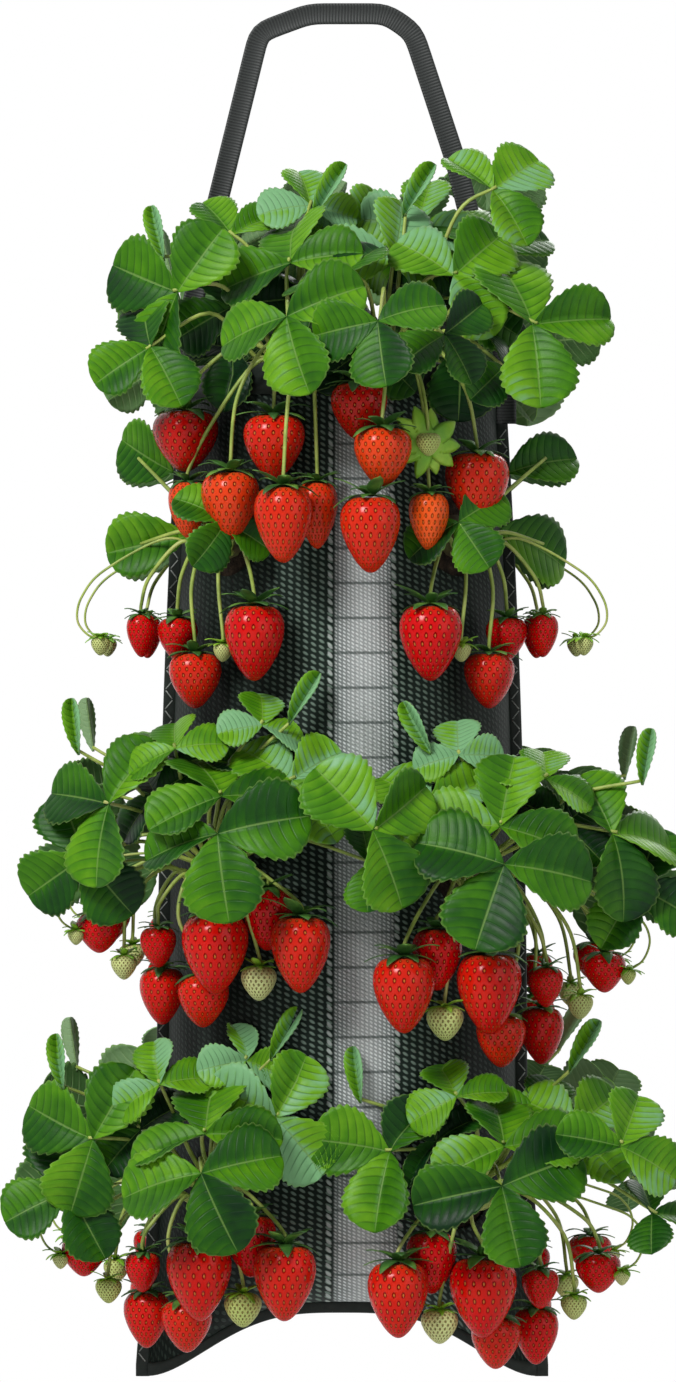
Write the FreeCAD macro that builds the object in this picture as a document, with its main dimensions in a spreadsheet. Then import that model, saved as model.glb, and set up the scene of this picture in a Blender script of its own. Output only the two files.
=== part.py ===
# Hanging grow bag planted with strawberries.
# Millimetres, +Z up, front towards -Y. The origin is where a hook carries the strap loop.
import FreeCAD, Part
import math
import os

import Sketcher
from FreeCAD import Placement, Rotation, Vector

doc = FreeCAD.newDocument("hanging_planter")

# Driving sizes, one row each
size_rows = [
    # strap loop
    ("strap_width", 13.0),
    ("strap_thick", 3.0),
    ("strap_top_height", 6.5),
    ("strap_left_top", 20.0),
    ("strap_right_top", 27.0),
    ("strap_left_corner", 51.0),
    ("strap_right_corner", 44.0),
    ("strap_corner_drop", 5.0),
    ("strap_right_knee", 70.0),
    ("strap_knee_drop", 84.0),
    ("foot_overhang", 6.0),
    ("foot_rise", 6.0),
    ("tab_depth", 32.0),
    ("tab_corner", 3.0),
    # fabric bag
    ("rim_drop", 214.0),
    ("rim_radius", 95.0),
    ("belly_below_rim", 436.0),
    ("belly_radius", 107.0),
    ("seam_below_rim", 574.0),
    ("ear_below_rim", 613.0),
    ("ear_half_width", 120.0),
    ("fabric_wall", 1.5),
    ("seam_gap", 0.6),
    ("panel_columns", 12),
    # hem and bindings
    ("hem_height", 18.0),
    ("hem_wall", 1.2),
    ("binding_width", 7.0),
    ("binding_thick", 2.6),
    ("seat_gap", 0.3),
    # soil and planting holes
    ("soil_below_hem", 3.0),
    ("soil_gap", 0.5),
    ("hole_radius", 24.0),
    ("column_angle", 45.0),
    ("upper_row_below_rim", 104.0),
    ("middle_row_below_rim", 306.0),
    ("lower_row_below_rim", 501.0),
    ("top_plant_half_span", 27.0),
    ("top_plant_reach", 62.0),
    # plants
    ("crown_radius", 16.0),
    ("crown_depth", 12.0),
    ("crown_proud", 4.0),
    ("leaf_thick", 2.4),
    ("leaf_stalk_width", 2.6),
    ("knuckle_radius", 2.5),
    ("knuckle_length", 24.0),
    ("knuckle_drop", 10.0),
    ("fruit_stalk_radius", 1.1),
    # places that follow from the sizes above: the strap's feet and the bag hang together
    ("foot_half_span", "=rim_radius + foot_overhang"),
    ("hinge_drop", "=rim_drop - foot_rise"),
    ("belly_drop", "=rim_drop + belly_below_rim"),
    ("seam_drop", "=rim_drop + seam_below_rim"),
    ("ear_drop", "=rim_drop + ear_below_rim"),
    ("upper_row_drop", "=rim_drop + upper_row_below_rim"),
    ("middle_row_drop", "=rim_drop + middle_row_below_rim"),
    ("lower_row_drop", "=rim_drop + lower_row_below_rim"),
]
sheet = doc.addObject("Spreadsheet::Sheet", "Sizes")
for row, (alias, value) in enumerate(size_rows, start=1):
    sheet.set("A%d" % row, alias)
    sheet.set("B%d" % row, str(value))
    sheet.setAlias("B%d" % row, alias)
doc.recompute()

nodes = []
half_turn = Placement(Vector(), Rotation(Vector(0, 0, 1), 180))


def size(alias):
    return float(sheet.get(alias))


def keep(feature, label):
    feature.Label = label
    nodes.append(feature)
    return feature


def shape_node(label, shape, placement=Placement()):
    feature = doc.addObject("Part::Feature", label)
    feature.Shape = shape
    feature.Placement = placement
    return keep(feature, label)


def new_body(label):
    return keep(doc.addObject("PartDesign::Body", label), label)


def origin_plane(body, role):
    return [plane for plane in body.Origin.OriginFeatures if plane.Role == role][0]


def new_sketch(body, name, role):
    sketch = body.newObject("Sketcher::SketchObject", name)
    sketch.AttachmentSupport = [(origin_plane(body, role), "")]
    sketch.MapMode = "FlatFace"
    return sketch


def draw_outline(sketch, corners, closed=True):
    # corners: (x, y, x expression, y expression), joined by straight lines tied to the sheet
    count = len(corners)
    lines = count if closed else count - 1
    for k in range(lines):
        a = corners[k]
        b = corners[(k + 1) % count]
        sketch.addGeometry(Part.LineSegment(Vector(a[0], a[1], 0), Vector(b[0], b[1], 0)))
    for k in range(lines - 1):
        sketch.addConstraint(Sketcher.Constraint("Coincident", k, 2, k + 1, 1))
    if closed:
        sketch.addConstraint(Sketcher.Constraint("Coincident", lines - 1, 2, 0, 1))
    for k, corner in enumerate(corners):
        line, end = (k, 1) if k < lines else (k - 1, 2)
        pairs = (("DistanceX", corner[0], corner[2]), ("DistanceY", corner[1], corner[3]))
        for kind, value, expression in pairs:
            index = sketch.addConstraint(Sketcher.Constraint(kind, -1, 1, line, end, value))
            sketch.setExpression("Constraints[%d]" % index, expression)


def draw_rectangle(sketch, low, high):
    # low and high: (x, y, x expression, y expression) of two opposite corners
    draw_outline(
        sketch,
        [
            low,
            (high[0], low[1], high[2], low[3]),
            high,
            (low[0], high[1], low[2], high[3]),
        ],
    )


# Handle: one band swept along a creased path, with round fold lines at its two feet
def make_strap():
    body = new_body("handle_strap")
    foot = size("foot_half_span")
    low = -size("hinge_drop")
    top = size("strap_top_height")
    corner = -size("strap_corner_drop")
    knee = -size("strap_knee_drop")
    half_width = size("strap_width") / 2
    half_thick = size("strap_thick") / 2
    path = new_sketch(body, "strap_path", "XZ_Plane")
    draw_outline(
        path,
        [
            (-foot, low, "-Sizes.foot_half_span", "-Sizes.hinge_drop"),
            (-size("strap_left_corner"), corner, "-Sizes.strap_left_corner", "-Sizes.strap_corner_drop"),
            (-size("strap_left_top"), top, "-Sizes.strap_left_top", "Sizes.strap_top_height"),
            (size("strap_right_top"), top, "Sizes.strap_right_top", "Sizes.strap_top_height"),
            (size("strap_right_corner"), corner, "Sizes.strap_right_corner", "-Sizes.strap_corner_drop"),
            (size("strap_right_knee"), knee, "Sizes.strap_right_knee", "-Sizes.strap_knee_drop"),
            (foot, low, "Sizes.foot_half_span", "-Sizes.hinge_drop"),
        ],
        closed=False,
    )
    section = new_sketch(body, "strap_section", "XY_Plane")
    section.setExpression("AttachmentOffset.Base.z", "-Sizes.hinge_drop")
    draw_rectangle(
        section,
        (
            -foot - half_width,
            -half_thick,
            "-Sizes.foot_half_span - Sizes.strap_width / 2",
            "-Sizes.strap_thick / 2",
        ),
        (
            -foot + half_width,
            half_thick,
            "-Sizes.foot_half_span + Sizes.strap_width / 2",
            "Sizes.strap_thick / 2",
        ),
    )
    doc.recompute()
    band = body.newObject("PartDesign::AdditivePipe", "strap_band")
    band.Profile = section
    band.Spine = path
    band.Transition = "Right corner"
    trim = new_sketch(body, "foot_line", "XZ_Plane")
    reach = foot + size("strap_width")
    draw_rectangle(
        trim,
        (
            -reach,
            low - size("strap_width"),
            "-Sizes.foot_half_span - Sizes.strap_width",
            "-Sizes.hinge_drop - Sizes.strap_width",
        ),
        (reach, low, "Sizes.foot_half_span + Sizes.strap_width", "-Sizes.hinge_drop"),
    )
    doc.recompute()
    cut = body.newObject("PartDesign::Pocket", "foot_trim")
    cut.Profile = trim
    cut.Type = "ThroughAll"
    cut.Midplane = True
    fold = new_sketch(body, "foot_fold", "YZ_Plane")
    fold.setExpression("AttachmentOffset.Base.z", "-Sizes.foot_half_span - Sizes.strap_width / 2")
    fold.addGeometry(Part.Circle(Vector(0, low, 0), Vector(0, 0, 1), half_thick))
    fold.addConstraint(Sketcher.Constraint("PointOnObject", 0, 3, -2))
    drop = fold.addConstraint(Sketcher.Constraint("DistanceY", -1, 1, 0, 3, low))
    fold.setExpression("Constraints[%d]" % drop, "-Sizes.hinge_drop")
    radius = fold.addConstraint(Sketcher.Constraint("Radius", 0, half_thick))
    fold.setExpression("Constraints[%d]" % radius, "Sizes.strap_thick / 2")
    doc.recompute()
    roll = body.newObject("PartDesign::Pad", "foot_roll")
    roll.Profile = fold
    roll.setExpression("Length", "Sizes.strap_width")
    doc.recompute()
    pair = body.newObject("PartDesign::Mirrored", "foot_roll_pair")
    pair.Originals = [roll]
    pair.MirrorPlane = (origin_plane(body, "YZ_Plane"), [""])
    body.Tip = pair


# Sewn-in strap ends: flat tabs in the side seams, just under the fold line of each foot
def make_tab(label, side):
    body = new_body(label)
    sketch = new_sketch(body, label + "_outline", "XZ_Plane")
    half_width = size("strap_width") / 2
    top = -size("hinge_drop") - size("strap_thick") / 2 - size("seat_gap")
    low = -size("rim_drop") - size("tab_depth")
    middle = side * size("foot_half_span")
    middle_text = "%d * Sizes.foot_half_span" % side
    draw_rectangle(
        sketch,
        (
            middle - half_width,
            low,
            middle_text + " - Sizes.strap_width / 2",
            "-Sizes.rim_drop - Sizes.tab_depth",
        ),
        (
            middle + half_width,
            top,
            middle_text + " + Sizes.strap_width / 2",
            "-Sizes.hinge_drop - Sizes.strap_thick / 2 - Sizes.seat_gap",
        ),
    )
    doc.recompute()
    pad = body.newObject("PartDesign::Pad", label + "_pad")
    pad.Profile = sketch
    pad.Midplane = True
    pad.setExpression("Length", "Sizes.strap_thick")
    doc.recompute()
    edges = []
    for k, edge in enumerate(pad.Shape.Edges, start=1):
        ends = [vertex.Point for vertex in edge.Vertexes]
        if all(abs(point.z - low) < 1e-6 for point in ends) and abs(ends[0].y - ends[1].y) > 1e-6:
            edges.append("Edge%d" % k)
    rounding = body.newObject("PartDesign::Fillet", label + "_corners")
    rounding.Base = (pad, edges)
    rounding.setExpression("Radius", "Sizes.tab_corner")
    doc.recompute()


# Rim binding: a folded tape, U-shaped in section, with a slot at each side for the strap ends
def make_hem():
    body = new_body("rim_binding")
    sketch = new_sketch(body, "hem_section", "XZ_Plane")
    outer = size("rim_radius") + size("seat_gap")
    flat = math.cos(math.pi / (2 * size("panel_columns")))
    inner = (size("rim_radius") - size("fabric_wall")) * flat - size("seat_gap")
    wall = size("hem_wall")
    top = -size("rim_drop") + size("seat_gap")
    low = -size("rim_drop") - size("hem_height")
    outer_text = "Sizes.rim_radius + Sizes.seat_gap"
    flat_text = "cos(90 deg / Sizes.panel_columns)"
    inner_text = "(Sizes.rim_radius - Sizes.fabric_wall) * " + flat_text + " - Sizes.seat_gap"
    top_text = "-Sizes.rim_drop + Sizes.seat_gap"
    low_text = "-Sizes.rim_drop - Sizes.hem_height"
    wall_text = " + Sizes.hem_wall"
    draw_outline(
        sketch,
        [
            (inner - wall, low, inner_text + " - Sizes.hem_wall", low_text),
            (inner, low, inner_text, low_text),
            (inner, top, inner_text, top_text),
            (outer, top, outer_text, top_text),
            (outer, low, outer_text, low_text),
            (outer + wall, low, outer_text + wall_text, low_text),
            (outer + wall, top + wall, outer_text + wall_text, top_text + wall_text),
            (inner - wall, top + wall, inner_text + " - Sizes.hem_wall", top_text + wall_text),
        ],
    )
    doc.recompute()
    ring = body.newObject("PartDesign::Revolution", "hem_ring")
    ring.Profile = sketch
    ring.ReferenceAxis = (sketch, ["V_Axis"])
    ring.Angle = 360
    doc.recompute()
    slot = new_sketch(body, "strap_slot", "YZ_Plane")
    slot.setExpression("AttachmentOffset.Base.z", inner_text)
    half_slot = size("strap_thick") / 2 + size("seat_gap")
    half_text = "(Sizes.strap_thick / 2 + Sizes.seat_gap)"
    draw_rectangle(
        slot,
        (-half_slot, low - wall, "-" + half_text, low_text + " - Sizes.hem_wall"),
        (half_slot, top + 2 * wall, half_text, top_text + " + 2 * Sizes.hem_wall"),
    )
    doc.recompute()
    cut = body.newObject("PartDesign::Pocket", "strap_slot_cut")
    cut.Profile = slot
    cut.Type = "ThroughAll"
    cut.Reversed = True
    doc.recompute()
    pair = body.newObject("PartDesign::Mirrored", "strap_slot_pair")
    pair.Originals = [cut]
    pair.MirrorPlane = (origin_plane(body, "YZ_Plane"), [""])
    body.Tip = pair


# Soft forms are light polyhedra, worked out from rings of points
def polyhedron(points, triangles):
    shape = Part.Shape()
    shape.makeShapeFromMesh((points, triangles), 0.001)
    solid = Part.makeSolid(shape)
    if solid.Volume < 0:
        solid.reverse()
    return solid


def fan(ring, centre, turned):
    count = len(ring)
    triangles = []
    for k in range(count):
        pair = (ring[k], ring[(k + 1) % count])
        triangles.append((centre, pair[1], pair[0]) if turned else (centre, pair[0], pair[1]))
    return triangles


def wall(low, high):
    count = len(low)
    triangles = []
    for k in range(count):
        n = (k + 1) % count
        triangles.append((low[k], low[n], high[n]))
        triangles.append((low[k], high[n], high[k]))
    return triangles


def ring_stack(rings, shared_ends):
    # closed rings of points joined one to the next; each end is closed across, from half to half
    count = len(rings[0])
    points = [point for ring in rings for point in ring]
    rows = [list(range(k * count, (k + 1) * count)) for k in range(len(rings))]
    triangles = []
    for low, high in zip(rows, rows[1:]):
        triangles += wall(low, high)
    for k in range(count // 2):
        facing = (count - k) % count if shared_ends else count - 1 - k
        beyond = (facing - 1) % count
        for corners in ((k, k + 1, beyond), (k, beyond, facing)):
            if len(set(corners)) == 3:
                a, b, c = corners
                triangles.append((a, c, b))
                triangles.append((rows[-1][a], rows[-1][b], rows[-1][c]))
    return polyhedron(points, triangles)


def across(axis):
    # two unit vectors square to axis
    guide = Vector(0, 0, 1) if abs(axis.z) < 0.9 else Vector(0, 1, 0)
    first = axis.cross(guide).normalize()
    return first, axis.cross(first).normalize()


def tube(path, radii, sides):
    # a polygon carried along a path of points, with a radius at each; radius 0 closes an end to a point
    points = []
    rings = []
    first, _ = across((path[1] - path[0]).normalize())
    for k, centre in enumerate(path):
        axis = (path[min(k + 1, len(path) - 1)] - path[max(k - 1, 0)]).normalize()
        first = (first - axis * first.dot(axis)).normalize()
        second = axis.cross(first)
        spokes = sides if radii[k] > 0 else 1
        rings.append([len(points) + n for n in range(spokes)])
        for n in range(spokes):
            turn = 2 * math.pi * n / sides
            points.append(centre + (first * math.cos(turn) + second * math.sin(turn)) * radii[k])
    triangles = []
    for low, high in zip(rings, rings[1:]):
        if len(low) == 1:
            triangles += fan(high, low[0], False)
        elif len(high) == 1:
            triangles += fan(low, high[0], True)
        else:
            triangles += wall(low, high)
    for end, turned in ((rings[0], True), (rings[-1], False)):
        for n in range(1, len(end) - 1):
            corner = (end[0], end[n + 1], end[n]) if turned else (end[0], end[n], end[n + 1])
            triangles.append(corner)
    return polyhedron(points, triangles)


# Bag form. Each level is round down to the belly, and then closes, as a lens, to an arched seam.
body_steps = 4
quarter_steps = 5
soil_quarter_steps = 3
hole_sides = 10
crown_sides = 6
arch_power = 1.6
ear_power = 1.5


def tab_end():
    return size("rim_drop") + size("tab_depth") + 2 * size("seat_gap")


def round_radius(drop):
    share = (drop - tab_end()) / (size("belly_drop") - tab_end())
    share = min(max(share, 0.0), 1.0)
    return size("rim_radius") + (size("belly_radius") - size("rim_radius")) * (1 - (1 - share) ** 2)


def arch_drop(x):
    share = min(abs(x) / size("ear_half_width"), 1.0) ** arch_power
    return (size("ear_drop") - size("seam_drop")) * share * share * (3 - 2 * share)


def level_above_belly(drop, inset):
    radius = round_radius(drop) - inset
    return (radius, radius, drop, 0.0)


def level_below_belly(turn, inset):
    # turn runs from 0 at the belly to a quarter turn at the seam
    sine = math.sin(turn)
    seam_half = size("fabric_wall") + size("seam_gap") / 2 - inset
    half_width = size("belly_radius") + (size("ear_half_width") - size("belly_radius")) * sine**ear_power
    half_depth = (size("belly_radius") - inset) * math.cos(turn) + seam_half * sine
    drop = size("belly_drop") + (size("seam_drop") - size("belly_drop") - inset) * sine
    return (half_width - inset, half_depth, drop, sine)


def bag_levels(inset, top, last_step):
    # from a level above the strap ends, by even steps to the belly, and on towards the seam
    levels = [level_above_belly(top, inset)]
    for k in range(body_steps):
        drop = tab_end() + (size("belly_drop") - tab_end()) * k / body_steps
        levels.append(level_above_belly(drop, inset))
    for k in range(last_step + 1):
        levels.append(level_below_belly(math.pi / 2 * k / quarter_steps, inset))
    return levels


def level_point(level, turn):
    # closing, from 0 at the belly to 1 at the seam, sharpens the sides of a level and lets the arch in
    half_width, half_depth, drop, closing = level
    x = -half_width * math.cos(turn)
    y = -half_depth * math.sin(turn) ** (1 + closing)
    return Vector(x, y, -drop - closing**3 * arch_drop(x))


def half_round(level):
    # the front half of a level, from the left seam to the right
    columns = int(size("panel_columns"))
    points = [level_point(level, math.pi * k / columns) for k in range(columns + 1)]
    points[0].y = 0
    points[-1].y = 0
    return points


def surface_depth(x, drop):
    # how far in front of the seam plane the fabric lies, at a point given by x and drop
    level = level_above_belly(drop, 0.0)
    if drop > size("belly_drop"):
        share = (drop - size("belly_drop")) / (size("seam_drop") - size("belly_drop"))
        level = level_below_belly(math.asin(share), 0.0)
    half_width, half_depth, _, closing = level
    return half_depth * (1 - (x / half_width) ** 2) ** ((1 + closing) / 2)


def hole_seats():
    # (name, point on the fabric, outward direction) of each front hole
    seats = []
    for row in ("upper", "middle", "lower"):
        drop = size(row + "_row_drop")
        for name, side in (("left", -1), ("right", 1)):
            x = side * round_radius(min(drop, size("belly_drop"))) * math.sin(
                math.radians(size("column_angle"))
            )
            y = -surface_depth(x, drop)
            outward = Vector(x, y, 0).normalize()
            seats.append((row + "_" + name, Vector(x, y, -drop), outward))
    return seats


def top_seats():
    seats = []
    level = -size("rim_drop") - size("hem_height") - size("soil_below_hem")
    for name, side in (("left", -1), ("right", 1)):
        point = Vector(side * size("top_plant_half_span"), -size("top_plant_reach"), level)
        seats.append(("top_" + name, point, Vector(0, 0, 1)))
    return seats


def drill(point, direction, radius, inward, outward, sides):
    # a straight bar through a point, for holes, pockets and hinge stems
    return tube([point - direction * inward, point + direction * outward], [radius, radius], sides)


def make_panels():
    top = size("rim_drop")
    outer_levels = bag_levels(0.0, top, quarter_steps)
    inner_levels = bag_levels(size("fabric_wall"), top, quarter_steps)
    rings = []
    for outer, inner in zip(outer_levels, inner_levels):
        rings.append(half_round(outer) + half_round(inner)[::-1])
    panel = ring_stack(rings, False)
    reach = 2 * size("hole_radius")
    cuts = [drill(point, out, size("hole_radius"), reach, reach, hole_sides) for _, point, out in hole_seats()]
    tab_low = -size("rim_drop") - size("tab_depth") - size("seat_gap")
    slot_half = size("strap_thick") / 2 + size("seat_gap")
    slot_depth = size("strap_width") + 2 * size("fabric_wall")
    slot_height = -size("hinge_drop") - tab_low
    slot_start = size("rim_radius") - 2 * size("fabric_wall")
    for start in (slot_start, -slot_start - slot_depth):
        cuts.append(Part.makeBox(slot_depth, 2 * slot_half, slot_height, Vector(start, -slot_half, tab_low)))
    for cut in cuts:
        panel = panel.cut(cut)
    shape_node("front_panel", panel)
    shape_node("back_panel", panel, half_turn)


# Bindings: tape folded over the seams, as flat strips in the seam plane
def seam_strip(near, step):
    # near: the row of points beside the seam; step: from there to the far edge of the tape
    far = [point + step for point in reversed(near)]
    face = Part.Face(Part.makePolygon(near + far + near[:1]))
    thick = size("binding_thick")
    face.translate(Vector(0, -thick / 2, 0))
    return face.extrude(Vector(0, thick, 0))


def make_bindings():
    gap = size("seat_gap")
    width = size("binding_width")
    levels = bag_levels(0.0, size("rim_drop"), quarter_steps)
    near = [half_round(level)[-1] + Vector(gap, 0, 0) for level in levels[1:]]
    near.append(near[-1] - Vector(0, 0, gap + width))
    strip = seam_strip(near, Vector(width, 0, 0))
    shape_node("side_binding_right", strip)
    shape_node("side_binding_left", strip, half_turn)
    near = []
    for point in half_round(levels[-1]):
        near.append(Vector(point.x, 0, point.z - gap))
    shape_node("bottom_binding", seam_strip(near, Vector(0, 0, -width)))


# Soil: fills the bag from just under the hem, with a pocket for each plant's crown
def make_soil():
    inset = size("fabric_wall") + size("soil_gap")
    top = size("rim_drop") + size("hem_height") + size("soil_below_hem")
    rings = []
    for level in bag_levels(inset, top, soil_quarter_steps):
        front_half = half_round(level)[::-1]
        rings.append(front_half + [Vector(-point.x, -point.y, point.z) for point in front_half[1:-1]])
    soil = ring_stack(rings, True)
    spare = size("seat_gap")
    radius = size("crown_radius") + 2 * spare
    pockets = []
    for _, point, out in hole_seats() + top_seats():
        pocket = drill(point, out, radius, size("crown_depth") + spare, size("hole_radius"), crown_sides)
        pockets.append(pocket)
        pockets.append(pocket.rotated(Vector(), Vector(0, 0, 1), 180))
    shape_node("soil_core", soil.cut(pockets))


# Leaf outline: share of leaflet length along the midrib, and to each side of it
leaflet_outline = [(0.45, 0.38), (0.97, 0.14), (0.97, -0.14), (0.45, -0.38)]
leaflet_spread = math.radians(95)
leaflet_droop = math.radians(10)
leaflet_fold = 0.16
leaflet_web = 3.0
leaf_clear = 6.0
stalk_bow = 0.10


def clear_of_bag(point):
    # a point that would lie in the bag, moved straight out to just in front of the fabric
    reach = math.hypot(point.x, point.y)
    least = round_radius(-point.z) + leaf_clear
    if reach >= least or -point.z < size("rim_drop") - leaf_clear:
        return point
    return Vector(point.x * least / reach, point.y * least / reach, point.z)


def leaf(foot, rise, hub, tip, face, length, lift):
    # three folded leaflets round a hub, and the stalk down to its foot, as one closed form
    normal = face.normalize()
    tip = (tip - normal * tip.dot(normal)).normalize()
    side = normal.cross(tip)
    half_stalk = size("leaf_stalk_width") / 2
    down = math.tan(leaflet_droop)
    ring = [hub - tip * leaflet_web + side * half_stalk]
    for turn in (leaflet_spread, 0.0, -leaflet_spread):
        along = tip * math.cos(turn) + side * math.sin(turn)
        beside = normal.cross(along)
        for share, offset in leaflet_outline:
            height = leaflet_fold * abs(offset) - down * share
            blade = hub + (along * share + beside * offset + normal * height) * length
            ring.append(clear_of_bag(blade))
        if turn > -leaflet_spread:
            between = turn - leaflet_spread / 2
            web = tip * math.cos(between) + side * math.sin(between)
            ring.append(hub + web * leaflet_web)
    ring.append(hub - tip * leaflet_web - side * half_stalk)
    count = len(ring)
    half_thick = normal * (size("leaf_thick") / 2)
    upper, lower = count, count + 1
    points = ring + [hub + half_thick, hub - half_thick]
    triangles = fan(list(range(count)), upper, True)[:-1] + fan(list(range(count)), lower, False)[:-1]
    # stalk: from the four points at the back of the hub, over a bend, to a foot square to its rise
    span = (hub - foot).Length
    outward = Vector(foot.x + hub.x, foot.y + hub.y, 0).normalize()
    bend = (foot + hub) / 2 + outward * (stalk_bow * span) + Vector(0, 0, lift * span)
    stalk_rings = [[0, upper, count - 1, lower]]
    for centre, axis in ((bend, (hub - foot).normalize()), (foot, rise)):
        beside = (side - axis * axis.dot(side)).normalize()
        above = axis.cross(beside)
        start = len(points)
        for step in (beside, above, -beside, -above):
            points.append(centre + step * half_stalk)
        stalk_rings.append(list(range(start, start + 4)))
    for low, high in zip(stalk_rings, stalk_rings[1:]):
        triangles += wall(low, high)
    end = stalk_rings[-1]
    triangles += [(end[0], end[1], end[2]), (end[0], end[2], end[3])]
    return polyhedron(points, triangles)


# Places are given from each plant's crown as (across, up, out), seen from the front
def front(place, mirrored=1):
    return Vector(mirrored * place[0], -place[2], place[1])


# Leaves: hub, leaflet length and the way the end leaflet points
side_leaves = {
    "outer": ((-74, 37, 45), 50, (-0.9, 0.4, 0.2)),
    "centre": ((-8, 20, 92), 54, (0.25, -1.0, 0.1)),
    "upper": ((-6, 42, 72), 48, (-0.2, 1.0, 0.1)),
    "crest": ((18, 84, 40), 30, (0.1, 1.0, 0.0)),
    "inner": ((36, 51, 54), 46, (0.6, 0.8, 0.1)),
    "wide": ((84, 22, 98), 50, (0.8, 0.5, 0.1)),
    "low_outer": ((-89, 5, 30), 46, (-0.9, -0.4, 0.1)),
    "low_inner": ((82, 2, 72), 32, (0.95, 0.1, 0.1)),
}
upper_leaves = {
    "high": ((-50, 46, -40), 28, (-0.9, 0.4, -0.1)),
    "low": ((-42, -3, -30), 36, (-0.9, -0.3, -0.1)),
}
top_left_leaves = {
    "outer": ((-72, 63, 45), 50, (-0.9, 0.4, 0.2)),
    "centre": ((-6, 46, 88), 50, (0.25, -1.0, 0.1)),
    "upper": ((-4, 81, 40), 48, (-0.3, 1.0, 0.1)),
    "crest": ((8, 118, 6), 34, (0.1, 1.0, 0.0)),
    "low_outer": ((-87, 31, 30), 46, (-0.9, -0.4, 0.1)),
}
top_right_leaves = {
    "centre": ((-6, 42, 110), 42, (0.2, -1.0, 0.1)),
    "upper": ((4, 85, 22), 44, (0.2, 1.0, 0.1)),
    "inner": ((40, 73, 45), 46, (0.7, 0.7, 0.1)),
    "wide": ((87, 43, 55), 54, (0.9, 0.3, 0.1)),
    "low_inner": ((70, 18, 50), 34, (0.9, -0.5, 0.1)),
    "corner": ((64, 126, 25), 42, (0.7, 0.7, 0.0)),
}
inner_leaf_names = ("wide", "low_inner")
outer_leaf_names = ("crest", "low_outer")
narrow_wide_leaf = ((62, 44, 98), 42, (0.4, 0.9, 0.1))

# Fruit: centre, width, length, and the bend of its stalk
side_fruit = [
    ((50, -47, 64), 37, 49, (30, 0, 45)),
    ((30, -27, 38), 30, 40, (18, -4, 28)),
    ((-1, -47, 48), 40, 52, (4, -2, 30)),
    ((-9, -77, 26), 31, 34, (-30, -14, 22)),
    ((-34, -75, 4), 28, 37, (-40, -8, 8)),
    ((-36, -45, 22), 22, 26, (-34, -12, 24)),
    ((-72, -37, 5), 27, 26, (-62, 0, 14)),
]
side_unripe = [
    ((25, -66, 44), 11, (10, 2, 58)),
    ((-57, -58, 8), 8, (-52, -4, 14)),
]
upper_fruit = [
    ((17, -63, 42), 37, 49, (12, -8, 22)),
    ((-19, -86, 14), 31, 36, (-22, -14, 14)),
    ((-30, -61, -4), 25, 28, (-26, -12, 8)),
    ((-52, -59, -8), 19, 28, (-44, -14, 4)),
]
upper_unripe = [((-70, -62, -10), 6, (-60, -10, 0)), ((-2, -70, 26), 6, (-6, -14, 16))]
top_left_fruit = [
    ((17, -95, 24), 28, 43, (14, -8, 22)),
    ((-8, -101, 48), 34, 49, (-4, -6, 40)),
    ((-14, -54, 18), 38, 42, (-12, -2, 18)),
    ((-40, -89, 16), 36, 44, (-34, -6, 20)),
    ((-68, -49, -20), 41, 40, (-56, -2, 4)),
    ((-66, -91, -14), 25, 37, (-44, -48, -12)),
]
top_right_fruit = [
    ((-17, -33, 26), 34, 37, (-14, 2, 22)),
    ((-3, -61, 46), 34, 38, (0, 0, 36)),
    ((-12, -107, 48), 39, 49, (-4, -62, 20)),
    ((25, -99, 22), 25, 37, (20, -8, 22)),
    ((54, -78, 4), 38, 46, (44, -4, 12)),
]
top_unripe = [((24, -54, 34), 10, (18, -2, 22))]

# Crowns, knuckles and fruit: corners of each section, and shares of a radius, width or length
knuckle_sides = 12
stalk_sides = 3
berry_sides = 5
crown_taper = 0.8
foot_ring_share = 0.33
leaf_facing = (0.2, 0.3, 0.93)
slot_share = 0.85
neck_share = 4.0
calyx_share = 0.36
shoulder_share = 0.4
widest_drop = 0.36


def fruit_axis(seat):
    # hinge of a fruit truss: its middle and the way it swings out
    label, point, out = seat
    clear = size("seat_gap") + size("knuckle_radius")
    if not label.startswith("top"):
        middle = point + out * (size("crown_proud") + clear) - Vector(0, 0, size("knuckle_drop"))
        return middle, out
    out = Vector(point.x, -math.sqrt(size("rim_radius") ** 2 - point.x**2), 0)
    rest = -size("rim_drop") + size("seat_gap") + size("hem_wall") + clear
    return Vector(out.x, out.y, rest), out.normalize()


def make_leaves(seat, leaves, mirrored, shift, lift):
    _, point, out = seat
    proud = size("crown_proud")
    radius = size("crown_radius")
    crown_path = [point - out * size("crown_depth"), point + out * proud]
    solids = [tube(crown_path, [radius, crown_taper * radius], crown_sides)]
    first, second = across(out)

    def turn_of(place):
        # the way a leaf lies from its crown, as an angle about the crown's own line
        lean = front(place, mirrored)
        return math.atan2(lean.dot(second), lean.dot(first))

    # the stalks' feet stand evenly round the crown, in the order of their leaves
    ordered = sorted(leaves.values(), key=lambda entry: turn_of(entry[0]))
    start = turn_of(ordered[0][0])
    across_share, up_share, out_share = leaf_facing
    for k, (place, length, tip) in enumerate(ordered):
        hub = point + front(place, mirrored) + front((shift[0], shift[1], 0))
        turn = start + 2 * math.pi * k / len(ordered)
        spread = (first * math.cos(turn) + second * math.sin(turn)) * (foot_ring_share * radius)
        foot = point + out * (proud + size("seat_gap")) + spread
        face = front((math.copysign(across_share, place[0]), up_share, out_share), mirrored)
        solids.append(leaf(foot, out, hub, front(tip, mirrored), face, length, lift))
    return Part.makeCompound(solids)


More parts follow.
